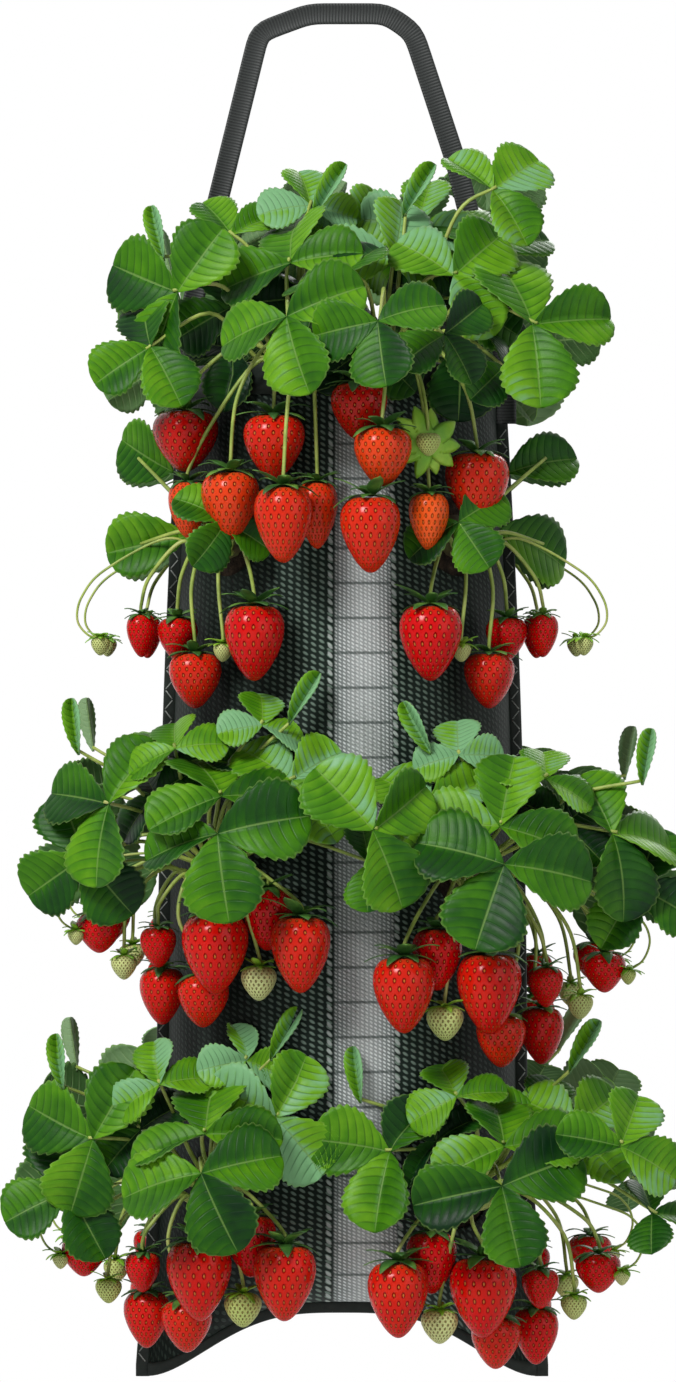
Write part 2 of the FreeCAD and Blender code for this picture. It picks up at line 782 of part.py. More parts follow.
def make_truss(seat, fruit, unripe, mirrored, shift):
    # stalks with their calyxes and unripe fruit, and the red fruit, all from one hinge line
    label, point, _ = seat
    middle, out = fruit_axis(seat)
    line = Vector(out.y, -out.x, 0)
    start = middle if label.startswith("top") else point
    half = size("knuckle_length") / 2
    stalks = [drill(middle, line, size("knuckle_radius"), half, half, knuckle_sides)]
    berries = []
    down = Vector(0, 0, -1)
    thin = size("fruit_stalk_radius")
    hung = fruit + [(place, 2 * radius, 2 * radius, bend) for place, radius, bend in unripe]
    order = sorted(range(len(hung)), key=lambda k: -front(hung[k][0], mirrored).dot(line))
    for k, (place, width, length, bend) in enumerate(hung):
        centre = start + front(place, mirrored) + front((shift[0], shift[1], 0))
        top = centre - down * (length / 2)
        slot = half * slot_share * (1 - 2 * order.index(k) / (len(hung) - 1))
        foot = middle + line * slot + out * (size("knuckle_radius") + size("seat_gap") + thin / 2)
        bend_point = start + front(bend, mirrored) + front((shift[0] / 2, shift[1] / 2, 0))
        cap = top - down * size("seat_gap")
        neck = cap - down * (neck_share * thin)
        ripe = k < len(fruit)
        flare = calyx_share * width if ripe else thin
        stalks.append(tube([foot, bend_point, neck, cap], [thin, thin, thin, flare], stalk_sides))
        if ripe:
            path = [top, top + down * (widest_drop * length), top + down * length]
            berries.append(tube(path, [shoulder_share * width, width / 2, 0.0], berry_sides))
        else:
            path = [top, centre, centre + down * (length / 2)]
            stalks.append(tube(path, [0.0, width / 2, 0.0], berry_sides))
    return Part.makeCompound(stalks), Part.makeCompound(berries)


def behind(shape):
    # the same plant on the back of the bag, seen in the seam plane as in a mirror
    return shape.mirror(Vector(), Vector(0, 1, 0))


def without(leaves, names):
    return {key: value for key, value in leaves.items() if key not in names}


# Each plant: its leaves and whether they are mirrored, its fruit, and how far each set is shifted
def make_plants():
    few = without(side_leaves, inner_leaf_names)
    rest = without(side_leaves, outer_leaf_names)
    rest["wide"] = narrow_wide_leaf
    plants = {
        "top_left": (top_left_leaves, 1, (0, 0), top_left_fruit, [], 1, (0, 0), 0.6),
        "top_right": (top_right_leaves, 1, (0, 0), top_right_fruit, top_unripe, 1, (0, 0), 0.6),
        "upper_left": (upper_leaves, 1, (0, 0), upper_fruit, upper_unripe, 1, (0, 0), 0.06),
        "upper_right": (upper_leaves, -1, (0, 0), upper_fruit, upper_unripe, -1, (0, 0), 0.06),
        "middle_left": (side_leaves, 1, (9, 4), side_fruit, side_unripe, 1, (0, 0), 0.06),
        "middle_right": (few, -1, (13, -15), side_fruit, side_unripe, -1, (12, -24), 0.06),
        "lower_left": (few, 1, (0, -3), side_fruit, side_unripe, 1, (-9, -2), 0.06),
        "lower_right": (rest, 1, (27, -10), side_fruit, side_unripe, -1, (8, -12), 0.06),
    }
    seats = {seat[0]: seat for seat in top_seats() + hole_seats()}
    for name, plant in plants.items():
        leaves, leaf_side, leaf_shift, fruit, unripe, fruit_side, fruit_shift, lift = plant
        foliage = make_leaves(seats[name], leaves, leaf_side, leaf_shift, lift)
        stalks, berries = make_truss(seats[name], fruit, unripe, fruit_side, fruit_shift)
        for part, shape in (("leaves", foliage), ("stalks", stalks), ("berries", berries)):
            shape_node("front_%s_%s" % (name, part), shape)
            shape_node("back_%s_%s" % (name, part), behind(shape))


make_strap()
make_tab("handle_end_left", -1)
make_tab("handle_end_right", 1)
make_hem()
make_panels()
make_bindings()
make_soil()
make_plants()
doc.recompute()

# Nothing is written unless every object is sound
for thing in doc.Objects:
    if "Invalid" in thing.State or "Error" in thing.State:
        raise RuntimeError("failed: " + thing.Label)
for feature in nodes:
    if feature.Shape.isNull() or not feature.Shape.isValid():
        raise RuntimeError("bad shape: " + feature.Label)
os.makedirs("parts", exist_ok=True)
for feature in nodes:
    feature.Shape.exportStep("parts/%s.step" % feature.Label)
print(len(nodes), "nodes written")
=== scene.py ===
import math

import bmesh
import bpy
import numpy as np
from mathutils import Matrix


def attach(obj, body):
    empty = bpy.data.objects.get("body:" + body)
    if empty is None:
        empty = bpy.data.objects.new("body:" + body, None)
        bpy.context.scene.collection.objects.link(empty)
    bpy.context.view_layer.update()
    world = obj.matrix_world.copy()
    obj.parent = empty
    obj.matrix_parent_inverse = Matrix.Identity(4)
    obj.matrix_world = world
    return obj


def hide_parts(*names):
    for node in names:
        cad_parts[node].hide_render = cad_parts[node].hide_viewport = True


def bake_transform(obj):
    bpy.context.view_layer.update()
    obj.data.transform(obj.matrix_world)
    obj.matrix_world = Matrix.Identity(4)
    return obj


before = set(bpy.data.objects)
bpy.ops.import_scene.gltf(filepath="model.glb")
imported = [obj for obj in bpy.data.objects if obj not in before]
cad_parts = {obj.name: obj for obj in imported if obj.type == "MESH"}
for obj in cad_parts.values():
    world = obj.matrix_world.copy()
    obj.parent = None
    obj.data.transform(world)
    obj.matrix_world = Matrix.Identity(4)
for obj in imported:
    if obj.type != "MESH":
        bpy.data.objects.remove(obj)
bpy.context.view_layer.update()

random = np.random.default_rng(11)
up = np.array([0.0, 0.0, 1.0])
print("stage: frame loaded,", len(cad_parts), "nodes")


# Mesh helpers

# a vector, or each row of several, at length 1
def unit(vectors):
    return vectors / np.linalg.norm(vectors, axis=-1, keepdims=True)


def asItIs(thing):
    return thing


# angles evenly round a circle
def roundTurns(count):
    return np.linspace(0, 2 * np.pi, count, endpoint=False)


# a power that keeps the sign: a sine to a power under 1 gives a band with rounded edges
def signedPower(wave, power):
    return np.sign(wave) * np.abs(wave) ** power


# a patch is a grid of points with its pattern coordinates, tone and material number
def patch(points, uv, wrap=False, tone=0.0, finish=0):
    return {"points": points, "uv": uv, "wrap": wrap, "tone": tone, "finish": finish}


def gridUv(rows, columns):
    u, v = np.meshgrid(np.linspace(0, 1, rows), np.linspace(0, 1, columns), indexing="ij")
    return np.stack([u, v], -1)


# a grid that joins its last column to its first
def wrappedPatch(points, tone=0.0, finish=0):
    rows, columns = points.shape[:2]
    return patch(points, gridUv(rows, columns + 1), True, tone, finish)


# rings along a line, closed to a point at both ends
def sweptPatch(rings, finish=0):
    ends = rings.mean(1, keepdims=True) + 0 * rings
    return wrappedPatch(np.concatenate([ends[:1], rings, ends[-1:]]), finish=finish)


# quads of a grid, by the numbers of their points and of their pattern coordinates
def gridQuads(rows, columns, wrap):
    vertex = np.arange(rows * columns).reshape(rows, columns)
    if wrap:
        vertex = np.hstack([vertex, vertex[:, :1]])
    mark = np.arange(vertex.size).reshape(vertex.shape)
    return [np.stack([grid[:-1, :-1], grid[:-1, 1:], grid[1:, 1:], grid[1:, :-1]], -1).reshape(-1, 4)
            for grid in (vertex, mark)]


def addObject(name, data):
    thing = bpy.data.objects.new(name, data)
    bpy.context.scene.collection.objects.link(thing)
    return thing


def addPiece(name, mesh, materials):
    mesh.polygons.foreach_set("use_smooth", np.ones(len(mesh.polygons), bool))
    for material in materials:
        mesh.materials.append(material)
    return addObject(name, mesh)


def buildPiece(name, patches, materials, closed=True):
    points, faces, uvs, tones, finishes = [], [], [], [], []
    start = 0
    for p in patches:
        rows, columns = p["points"].shape[:2]
        quads, marks = gridQuads(rows, columns, p["wrap"])
        points.append(p["points"].reshape(-1, 3))
        faces.append(quads + start)
        uvs.append(p["uv"].reshape(-1, 2)[marks.ravel()])
        tones.append(np.broadcast_to(p["tone"], (rows, columns)).ravel())
        finishes.append(np.full(len(quads), p["finish"]))
        start += rows * columns
    mesh = bpy.data.meshes.new(name)
    mesh.from_pydata(np.concatenate(points), [], np.concatenate(faces))
    mesh.uv_layers.new(name="pattern").data.foreach_set("uv", np.concatenate(uvs).ravel())
    tone = mesh.attributes.new("tone", "FLOAT", "POINT")
    tone.data.foreach_set("value", np.concatenate(tones).astype(np.float32))
    mesh.polygons.foreach_set("material_index", np.concatenate(finishes).astype(np.int32))
    work = bmesh.new()
    work.from_mesh(mesh)
    bmesh.ops.remove_doubles(work, verts=work.verts, dist=1e-6)
    if closed:
        bmesh.ops.recalc_face_normals(work, faces=work.faces)
    work.to_mesh(mesh)
    work.free()
    return addPiece(name, mesh, materials)


# gives a sheet its thickness, inward from the faces that are drawn
def thicken(piece, name, thickness):
    sheet = piece.modifiers.new(name, "SOLIDIFY")
    sheet.thickness = thickness
    sheet.offset = -1.0
    return sheet


# points along a smooth line through the given ones: each stretch is a cubic with averaged slopes
def smoothPath(knots, steps):
    knots = np.asarray(knots, float)
    ends = np.vstack([2 * knots[0] - knots[1], knots, 2 * knots[-1] - knots[-2]])
    slopes = (ends[2:] - ends[:-2]) / 2
    t = np.linspace(0, 1, steps, endpoint=False)[:, None]
    stretches = []
    for a, b, sa, sb in zip(knots, knots[1:], slopes, slopes[1:]):
        stretches.append((2 * t**3 - 3 * t**2 + 1) * a + (t**3 - 2 * t**2 + t) * sa
                         + (3 * t**2 - 2 * t**3) * b + (t**3 - t**2) * sb)
    return np.vstack(stretches + [knots[-1:]])


# a way that no stalk or thread follows, to measure the turn of its rings from
sideGuide = np.array([0.31, 0.95, 0.05])


# a round tube: every ring is path + radius * (first * cos + second * sin)
def tubePatch(path, radius, sides):
    along = unit(np.gradient(path, axis=0))
    first = unit(sideGuide - along * (along @ sideGuide)[:, None])
    second = np.cross(along, first)
    turn = roundTurns(sides)[None, :, None]
    ring = first[:, None] * np.cos(turn) + second[:, None] * np.sin(turn)
    return sweptPatch(path[:, None] + ring * np.broadcast_to(radius, len(path))[:, None, None])


# Node helpers

# an output socket that takes part in sums: a + b or a * 0.5 adds the node that works it out
class Value:
    def __init__(self, socket):
        self.socket = socket
        self.tree = socket.id_data

    def __add__(self, other):
        return calc("ADD", self, other)

    def __sub__(self, other):
        return calc("SUBTRACT", self, other)

    def __rsub__(self, other):
        return calc("SUBTRACT", other, self)

    def __mul__(self, other):
        return calc("MULTIPLY", self, other)

    def __truediv__(self, other):
        return calc("DIVIDE", self, other)

    def __pow__(self, other):
        return calc("POWER", self, other)

    def __abs__(self):
        return calc("ABSOLUTE", self)


# a colour is given as red, green and blue
def put(value, socket):
    if isinstance(value, Value):
        value.tree.links.new(value.socket, socket)
    else:
        socket.default_value = (*value, 1) if socket.type == "RGBA" else value


# adds a node with its settings and inputs, and gives one of its outputs
def addNode(tree, kind, output, inputs=(), **settings):
    node = tree.nodes.new("ShaderNode" + kind)
    for name, setting in settings.items():
        setattr(node, name, setting)
    for name, value in dict(inputs).items():
        put(value, node.inputs[name])
    return Value(node.outputs[output])


def calc(operation, *values):
    tree = next(value.tree for value in values if isinstance(value, Value))
    return addNode(tree, "Math", 0, enumerate(values), operation=operation)


# 1 where value is at or under low, falling smoothly to 0 at high
def fadeOut(value, low, high):
    limits = {"Value": value, "From Min": low, "From Max": high, "To Min": 1.0, "To Max": 0.0}
    return addNode(value.tree, "MapRange", 0, limits, interpolation_type="SMOOTHSTEP")


def mixColour(share, a, b):
    return addNode(share.tree, "Mix", 2, {0: share, 6: a, 7: b}, data_type="RGBA")


def ramp(value, stops):
    colour = addNode(value.tree, "ValToRGB", 0, {0: value})
    elements = colour.socket.node.color_ramp.elements
    while len(elements) < len(stops):
        elements.new(0.5)
    for element, (place, shade) in zip(elements, stops):
        element.position = place
        element.color = (*shade, 1)
    return colour


def noise(place, scale, detail=2.0):
    return addNode(place.tree, "TexNoise", 0, {"Vector": place, "Scale": scale, "Detail": detail})


def objectPlace(tree):
    return addNode(tree, "TexCoord", "Object")


def patternPlace(tree):
    return addNode(tree, "UVMap", 0, uv_map="pattern")


def toneOf(tree):
    return addNode(tree, "Attribute", "Fac", attribute_name="tone")


def parts(place):
    node = addNode(place.tree, "SeparateXYZ", 0, {0: place}).socket.node
    return Value(node.outputs[0]), Value(node.outputs[1])


def newMaterial(name, roughness, specular):
    material = bpy.data.materials.new(name)
    material.use_nodes = True
    shader = material.node_tree.nodes["Principled BSDF"]
    shader.inputs["Roughness"].default_value = roughness
    shader.inputs["Specular IOR Level"].default_value = specular
    return material, material.node_tree, shader


def bump(shader, height, strength, distance):
    inputs = {"Strength": strength, "Distance": distance, "Height": height}
    put(addNode(height.tree, "Bump", 0, inputs), shader.inputs["Normal"])


# a look is a share and a colour, and the colour shows where the mask is 1
def tint(colour, mask, look):
    share, shade = look
    return mixColour(mask * share, colour, shade)


# a group with a place and numbers as inputs, and masks as outputs
def newGroup(name, numbers, outputs):
    group = bpy.data.node_groups.new(name, "ShaderNodeTree")
    sockets = [("Place", "INPUT", "NodeSocketVector")]
    sockets += [(label, "INPUT", "NodeSocketFloat") for label in numbers]
    sockets += [(label, "OUTPUT", "NodeSocketFloat") for label in outputs]
    for label, way, kind in sockets:
        group.interface.new_socket(name=label, in_out=way, socket_type=kind)
    start = group.nodes.new("NodeGroupInput")
    end = group.nodes.new("NodeGroupOutput")
    return group, [Value(start.outputs[label]) for label in ("Place", *numbers)], end


def useGroup(group, **values):
    node = addNode(values["Place"].tree, "Group", 0, values, node_tree=group).socket.node
    return {socket.name: Value(socket) for socket in node.outputs}


knitForm = {"stagger": 0.5, "slant": 0.7, "wide": 0.42, "tall": 0.34, "edge": (0.25, 1.0)}
seedForm = {"stagger": 0.5, "wide": 0.12, "tall": 0.24, "seed": (0.35, 1.0), "dent": (0.6, 3.2)}


# knitted tape: columns of slanted dashes, each column half a row out of step with the last
def makeKnitGroup():
    group, (place, columnSize, rowSize), end = newGroup("knit", ["Column", "Row"], ["Dash"])
    across, along = parts(place)
    column = across / columnSize
    inColumn = calc("FRACT", column) - 0.5
    step = calc("FLOOR", column) * knitForm["stagger"]
    row = along / rowSize + (step + inColumn * knitForm["slant"])
    inRow = calc("FRACT", row) - 0.5
    spread = (inColumn / knitForm["wide"]) ** 2.0 + (inRow / knitForm["tall"]) ** 2.0
    put(fadeOut(spread, *knitForm["edge"]), end.inputs["Dash"])
    return group


# seeds in staggered rows round a fruit, from its top (0) to its tip (1)
def makeSeedGroup():
    group, (place, rows, columns), end = newGroup("seedRows", ["Rows", "Columns"], ["Seed", "Dent"])
    down, around = parts(place)
    row = down * rows
    nearest = calc("ROUND", row)
    column = around * columns + nearest * seedForm["stagger"]
    offRow = row - nearest
    offColumn = column - calc("ROUND", column)
    spread = (offRow / seedForm["tall"]) ** 2.0 + (offColumn / seedForm["wide"]) ** 2.0
    put(fadeOut(spread, *seedForm["seed"]), end.inputs["Seed"])
    put(fadeOut(spread, *seedForm["dent"]), end.inputs["Dent"])
    return group


# slow light and dark over a surface
def makeMottleGroup():
    group, (place, scale), end = newGroup("mottle", ["Scale"], ["Share"])
    put(noise(place, scale, 3.0), end.inputs["Share"])
    return group


knit = makeKnitGroup()
seedRows = makeSeedGroup()
mottle = makeMottleGroup()


def mottleOf(place, scale):
    return useGroup(mottle, Place=place, Scale=scale)["Share"]


# a material mottled through a row of colours, some with a fine grain
def makeMottled(name, look):
    material, tree, shader = newMaterial(name, look["roughness"], look["specular"])
    place = objectPlace(tree)
    put(ramp(mottleOf(place, look["mottle"]), look["stops"]), shader.inputs["Base Color"])
    if "grain" in look:
        scale, detail, strength, distance = look["grain"]
        bump(shader, noise(place, scale, detail), strength, distance)
    return material


# Bag form, as the CAD panels: round to the belly, then a lens closing to an arched seam

bag = {
    "rimDrop": 0.214, "rimRadius": 0.095, "tabEnd": 0.2466, "bellyDrop": 0.650, "bellyRadius": 0.107,
    "seamDrop": 0.788, "earDrop": 0.827, "earHalfWidth": 0.120, "wall": 0.0013, "seamGap": 0.0006,
    "flareBend": 1.5, "archBend": 1.6, "roundShare": 0.7, "rows": 150, "columns": 128,
    "holeRadius": 0.024, "holeReach": 0.04, "crease": 0.0011, "creaseFade": 0.05,
    "creaseWaves": ((9, 31), (-4, 47), (17, -60)), "fineCrease": 0.6,
    "soilDrop": 0.235, "topPlantSpan": 0.027, "topPlantReach": 0.062,
    "rowDrops": {"upper": 0.318, "middle": 0.520, "lower": 0.715},
}


def roundRadius(drop):
    share = np.clip((drop - bag["tabEnd"]) / (bag["bellyDrop"] - bag["tabEnd"]), 0, 1)
    return bag["rimRadius"] + (bag["bellyRadius"] - bag["rimRadius"]) * (1 - (1 - share) ** 2)


# the lens widens with the sine of its turn, from the belly (0) to the seam (a quarter turn)
def lensWidth(sine):
    return bag["bellyRadius"] + (bag["earHalfWidth"] - bag["bellyRadius"]) * sine ** bag["flareBend"]


# and its depth falls with the cosine, to the two walls at the seam
def lensDepth(turn, inset=0.0):
    seamHalf = bag["wall"] + bag["seamGap"] / 2 - inset
    return (bag["bellyRadius"] - inset) * np.cos(turn) + seamHalf * np.sin(turn)


def archDrop(x):
    share = np.clip(np.abs(x) / bag["earHalfWidth"], 0, 1) ** bag["archBend"]
    return (bag["earDrop"] - bag["seamDrop"]) * share * share * (3 - 2 * share)


# half width, half depth, drop and closing (0 at the belly, 1 at the seam) of each level of the bag
def bagLevels(rows, lastTurn, inset, top):
    above = np.linspace(top, bag["bellyDrop"], int(rows * bag["roundShare"]), endpoint=False)
    turn = np.linspace(0, lastTurn, rows - len(above))
    sine = np.sin(turn)
    halfWidth = np.concatenate([roundRadius(above), lensWidth(sine)]) - inset
    halfDepth = np.concatenate([roundRadius(above) - inset, lensDepth(turn, inset)])
    depthBelow = bag["seamDrop"] - bag["bellyDrop"] - inset
    drop = np.concatenate([above, bag["bellyDrop"] + depthBelow * sine])
    closing = np.concatenate([np.zeros(len(above)), sine])
    return halfWidth[:, None], halfDepth[:, None], drop[:, None], closing[:, None]


def bagPoints(levels, turn):
    halfWidth, halfDepth, drop, closing = levels
    x = -halfWidth * np.cos(turn)
    y = -halfDepth * signedPower(np.sin(turn), 1 + closing)
    z = -drop - closing**3 * archDrop(x)
    return np.stack([x, y, z + 0 * x], -1)


def bagDepth(x, drop):
    if drop <= bag["bellyDrop"]:
        return math.sqrt(roundRadius(drop) ** 2 - x**2)
    sine = (drop - bag["bellyDrop"]) / (bag["seamDrop"] - bag["bellyDrop"])
    return lensDepth(math.asin(sine)) * (1 - (x / lensWidth(sine)) ** 2) ** ((1 + sine) / 2)


# the point and the outward way of each plant's crown, on the front
def plantSeats():
    seats = {}
    for side, sign in (("left", -1), ("right", 1)):
        top = np.array([sign * bag["topPlantSpan"], -bag["topPlantReach"], -bag["soilDrop"]])
        seats["top_" + side] = (top, up)
        for row, drop in bag["rowDrops"].items():
            x = sign * roundRadius(drop) * math.sin(math.pi / 4)
            point = np.array([x, -bagDepth(x, drop), -drop])
            seats[row + "_" + side] = (point, unit(point * [1, 1, 0]))
    return seats


seats = plantSeats()


def halfTurn(points):
    return points * np.array([-1.0, -1.0, 1.0])


# the same patch on the back of the bag, as in a mirror, with its columns turned round to face outward
def behind(p):
    return dict(p, points=p["points"][:, ::-1] * np.array([1.0, -1.0, 1.0]), uv=p["uv"][:, ::-1])


bagFaces = (("front", asItIs), ("back", behind))


# Bag fabric: a pale knitted band with ladder rungs between dark knitted sides, with a painted highlight
# down the band's middle and painted shade towards the sides

fabric = {
    "bandLeft": -0.0052, "bandRight": 0.0325, "bandInner": 0.003, "bandOuter": 0.001, "glowFrom": 0.002,
    "ladder": 0.021, "rung": (0.02, 0.06), "borderOff": 0.0015, "border": (0.0018, 0.003),
    "sideShade": (0.030, 0.085), "mottle": 55.0,
    "dash": {"Column": 0.0052, "Row": 0.0036}, "borderDash": {"Column": 0.0052, "Row": 0.0053},
    "meshDash": {"Column": 0.0027, "Row": 0.0023},
    "darkYarn": (0.003, 0.007, 0.005), "darkDash": (0.150, 0.210, 0.170),
    "paleYarn": (0.16, 0.18, 0.175), "paleDash": (0.66, 0.70, 0.69),
    "glow": (0.35, (0.74, 0.77, 0.76)), "rungLook": (0.75, (0.05, 0.065, 0.06)),
    "borderLook": (0.7, (0.50, 0.55, 0.52)), "dust": (0.35, (0.02, 0.035, 0.026)),
    "shade": (0.86, (0.004, 0.007, 0.005)), "roughness": 0.55, "specular": 0.08, "bump": (0.6, 0.0006),
}


def makeFabricMaterial():
    material, tree, shader = newMaterial("knittedFabric", fabric["roughness"], fabric["specular"])
    place = patternPlace(tree)
    across, along = parts(place)
    kinds = ("dash", "borderDash", "meshDash")
    dash, borderDash, meshDash = [useGroup(knit, Place=place, **fabric[kind])["Dash"] for kind in kinds]
    middle = (fabric["bandLeft"] + fabric["bandRight"]) / 2
    half = (fabric["bandRight"] - fabric["bandLeft"]) / 2
    off = abs(across - middle)
    band = fadeOut(off, half - fabric["bandInner"], half + fabric["bandOuter"])
    border = fadeOut(abs(off - (half + fabric["borderOff"])), *fabric["border"])
    rung = fadeOut(abs(calc("FRACT", along / fabric["ladder"]) - 0.5), *fabric["rung"])
    # painted highlight: the pale band is lightened towards its middle, where light falls on the round
    # front
    glow = fadeOut(off, fabric["glowFrom"], half)
    slow = mottleOf(objectPlace(tree), fabric["mottle"])
    # painted shade: the fabric is darkened towards the sides, away from the light
    sides = 1.0 - fadeOut(off, *fabric["sideShade"])
    dark = mixColour(dash, fabric["darkYarn"], fabric["darkDash"])
    pale = mixColour(meshDash, fabric["paleYarn"], fabric["paleDash"])
    pale = tint(pale, glow, fabric["glow"])
    pale = tint(pale, rung, fabric["rungLook"])
    colour = mixColour(band, dark, pale)
    colour = tint(colour, border * borderDash, fabric["borderLook"])
    colour = tint(colour, slow, fabric["dust"])
    colour = tint(colour, sides, fabric["shade"])
    put(colour, shader.inputs["Base Color"])
    bump(shader, dash, *fabric["bump"])
    return material


# moves the edge of each planting hole to its circle, and tells which quads lie outside the holes
def cutHoles(points, quads):
    keep = np.ones(len(quads), bool)
    for label, (centre, out) in seats.items():
        if label.startswith("top"):
            continue
        reach = points - centre
        radial = reach - (reach @ out)[:, None] * out
        radius = np.linalg.norm(radial, axis=1)
        near = np.abs(reach @ out)[quads].max(1) < bag["holeReach"]
        inside = (radius[quads].mean(1) < bag["holeRadius"]) & near
        keep &= ~inside
        rim = np.intersect1d(quads[inside], quads[~inside])
        points[rim] += radial[rim] * (bag["holeRadius"] / radius[rim] - 1)[:, None]
    return keep


# the panel's grid runs from seam to seam (turn) and from the rim to the bottom seam (rows)
def makePanel(name, node, material, place):
    turn = np.linspace(0, np.pi, bag["columns"] + 1)[None, :]
    levels = bagLevels(bag["rows"], math.pi / 2, 0.0, bag["rimDrop"])
    points = bagPoints(levels, turn)
    points[:, [0, -1], 1] = 0.0
    drop = levels[2]
    # soft creases: two crossing waves and a finer one, which lean with height and fade at the seams
    broad, steep, fine = [np.sin(across * turn + down * drop) for across, down in bag["creaseWaves"]]
    wave = broad * steep + bag["fineCrease"] * fine
    fade = np.sin(turn) ** 0.5 * np.clip((drop - bag["rimDrop"]) / bag["creaseFade"], 0, 1)
    points[..., 1] -= bag["crease"] * wave * fade * (1 - levels[3] ** 4)
    uv = np.stack([(turn - np.pi / 2) * bag["bellyRadius"] + 0 * drop, -drop + 0 * turn], -1)
    quads, marks = gridQuads(*points.shape[:2], False)
    points = points.reshape(-1, 3)
    keep = cutHoles(points, quads)
    mesh = bpy.data.meshes.new(name)
    mesh.from_pydata(place(points), [], quads[keep][:, ::-1])
    layer = mesh.uv_layers.new(name="pattern")
    layer.data.foreach_set("uv", uv.reshape(-1, 2)[marks[keep][:, ::-1].ravel()].ravel())
    work = bmesh.new()
    work.from_mesh(mesh)
    bmesh.ops.delete(work, geom=[v for v in work.verts if not v.link_faces], context="VERTS")
    work.to_mesh(mesh)
    work.free()
    panel = addPiece(name, mesh, [material])
    thicken(panel, "wall", bag["wall"])
    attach(panel, "bag")
    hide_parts(node)


fabricMaterial = makeFabricMaterial()
makePanel("frontPanel", "front_panel", fabricMaterial, asItIs)
makePanel("backPanel", "back_panel", fabricMaterial, halfTurn)
print("stage: panels")


# Bindings, hem and strap

tape = {
    "width": 0.007, "thick": 0.0026, "gap": 0.0003, "lap": 0.0015, "foldThick": 0.0046,
    "rows": 90, "bottomSteps": 81, "sides": 14, "edgePower": 0.55,
    "stitchPitch": 0.0062, "stitchRadius": 0.0004, "stitchAcross": 0.30, "stitchAlong": 0.42,
    "stitchSteps": 4, "stitchSides": 5,
}
tapeLook = {
    "roughness": 0.38, "specular": 0.15, "mottle": 180.0, "grain": (900.0, 2.0, 0.25, 0.0004),
    "stops": [(0.0, (0.006, 0.009, 0.007)), (1.0, (0.022, 0.028, 0.024))],
}
threadLook = {
    "roughness": 0.7, "specular": 0.3, "mottle": 500.0,
    "stops": [(0.0, (0.08, 0.09, 0.08)), (1.0, (0.42, 0.44, 0.41))],
}
tapeMaterial = makeMottled("seamTape", tapeLook)
threadMaterial = makeMottled("paleThread", threadLook)


# a flat strip with rounded edges: at each place along near, an oval reaches by step to the far edge
def stripPatch(near, step, thick):
    turn = roundTurns(tape["sides"])
    reach = 0.5 + 0.5 * signedPower(np.cos(turn), tape["edgePower"])
    height = 0.5 * thick * signedPower(np.sin(turn), tape["edgePower"])
    ring = reach[:, None] * step[None] + height[:, None] * np.array([0.0, 1.0, 0.0])
    return sweptPatch(near[:, None] + ring[None])


# a row of slanted threads along a strip, on both its faces
def stitchPatches(near, step, thick, pitch):
    length = np.concatenate([[0], np.cumsum(np.linalg.norm(np.diff(near, axis=0), axis=1))])
    places = np.arange(pitch, length[-1] - pitch, pitch)
    middles = np.stack([np.interp(places, length, near[:, k]) for k in range(3)], -1)
    along = unit(near[-1] - near[0]) * pitch * tape["stitchAlong"]
    patches = []
    for k, middle in enumerate(middles):
        across = step * tape["stitchAcross"] * (1 if k % 2 else -1)
        for face in (-1, 1):
            centre = middle + step * 0.5 + np.array([0.0, face * thick / 2, 0.0])
            path = np.linspace(centre - across - along, centre + across + along, tape["stitchSteps"])
            patches.append(tubePatch(path, tape["stitchRadius"], tape["stitchSides"]))
    return patches


def makeBindings():
    levels = bagLevels(tape["rows"], math.pi / 2, 0.0, bag["tabEnd"])
    edge = bagPoints(levels, np.array([[np.pi]]))[:, 0]
    edge[:, 1] = 0.0
    edge[:, 0] += tape["gap"]
    edge = np.vstack([edge, edge[-1] - [0, 0, tape["gap"] + tape["width"]]])
    step = np.array([tape["width"], 0.0, 0.0])
    lap = np.array([tape["lap"], 0.0, 0.0])
    stitches = []
    for name, node, place in (("sideTapeRight", "side_binding_right", asItIs),
                              ("sideTapeLeft", "side_binding_left", halfTurn)):
        strip = stripPatch(edge - lap, step + lap, tape["thick"])
        strip["points"] = place(strip["points"])
        piece = buildPiece(name, [strip], [tapeMaterial])
        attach(piece, "bag")
        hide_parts(node)
        for stitch in stitchPatches(edge, step, tape["thick"], tape["stitchPitch"]):
            stitch["points"] = place(stitch["points"])
            stitches.append(stitch)
    x = np.linspace(-bag["earHalfWidth"], bag["earHalfWidth"], tape["bottomSteps"])
    low = np.stack([x, 0 * x, -bag["seamDrop"] - archDrop(x) - tape["gap"]], -1)
    step = np.array([0.0, 0.0, -tape["width"]])
    lap = np.array([0.0, 0.0, tape["lap"]])
    strip = stripPatch(low + lap, step - lap, tape["foldThick"])
    piece = buildPiece("bottomTape", [strip], [tapeMaterial])
    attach(piece, "bag")
    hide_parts("bottom_binding")
    thread = buildPiece("seamStitches", stitches, [threadMaterial])
    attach(thread, "bag")


makeBindings()

hem = {"gap": 0.0003, "wall": 0.0012, "height": 0.018, "slotHalf": 0.0021, "inner": 0.0920,
       "bendSteps": 9, "steps": 73}


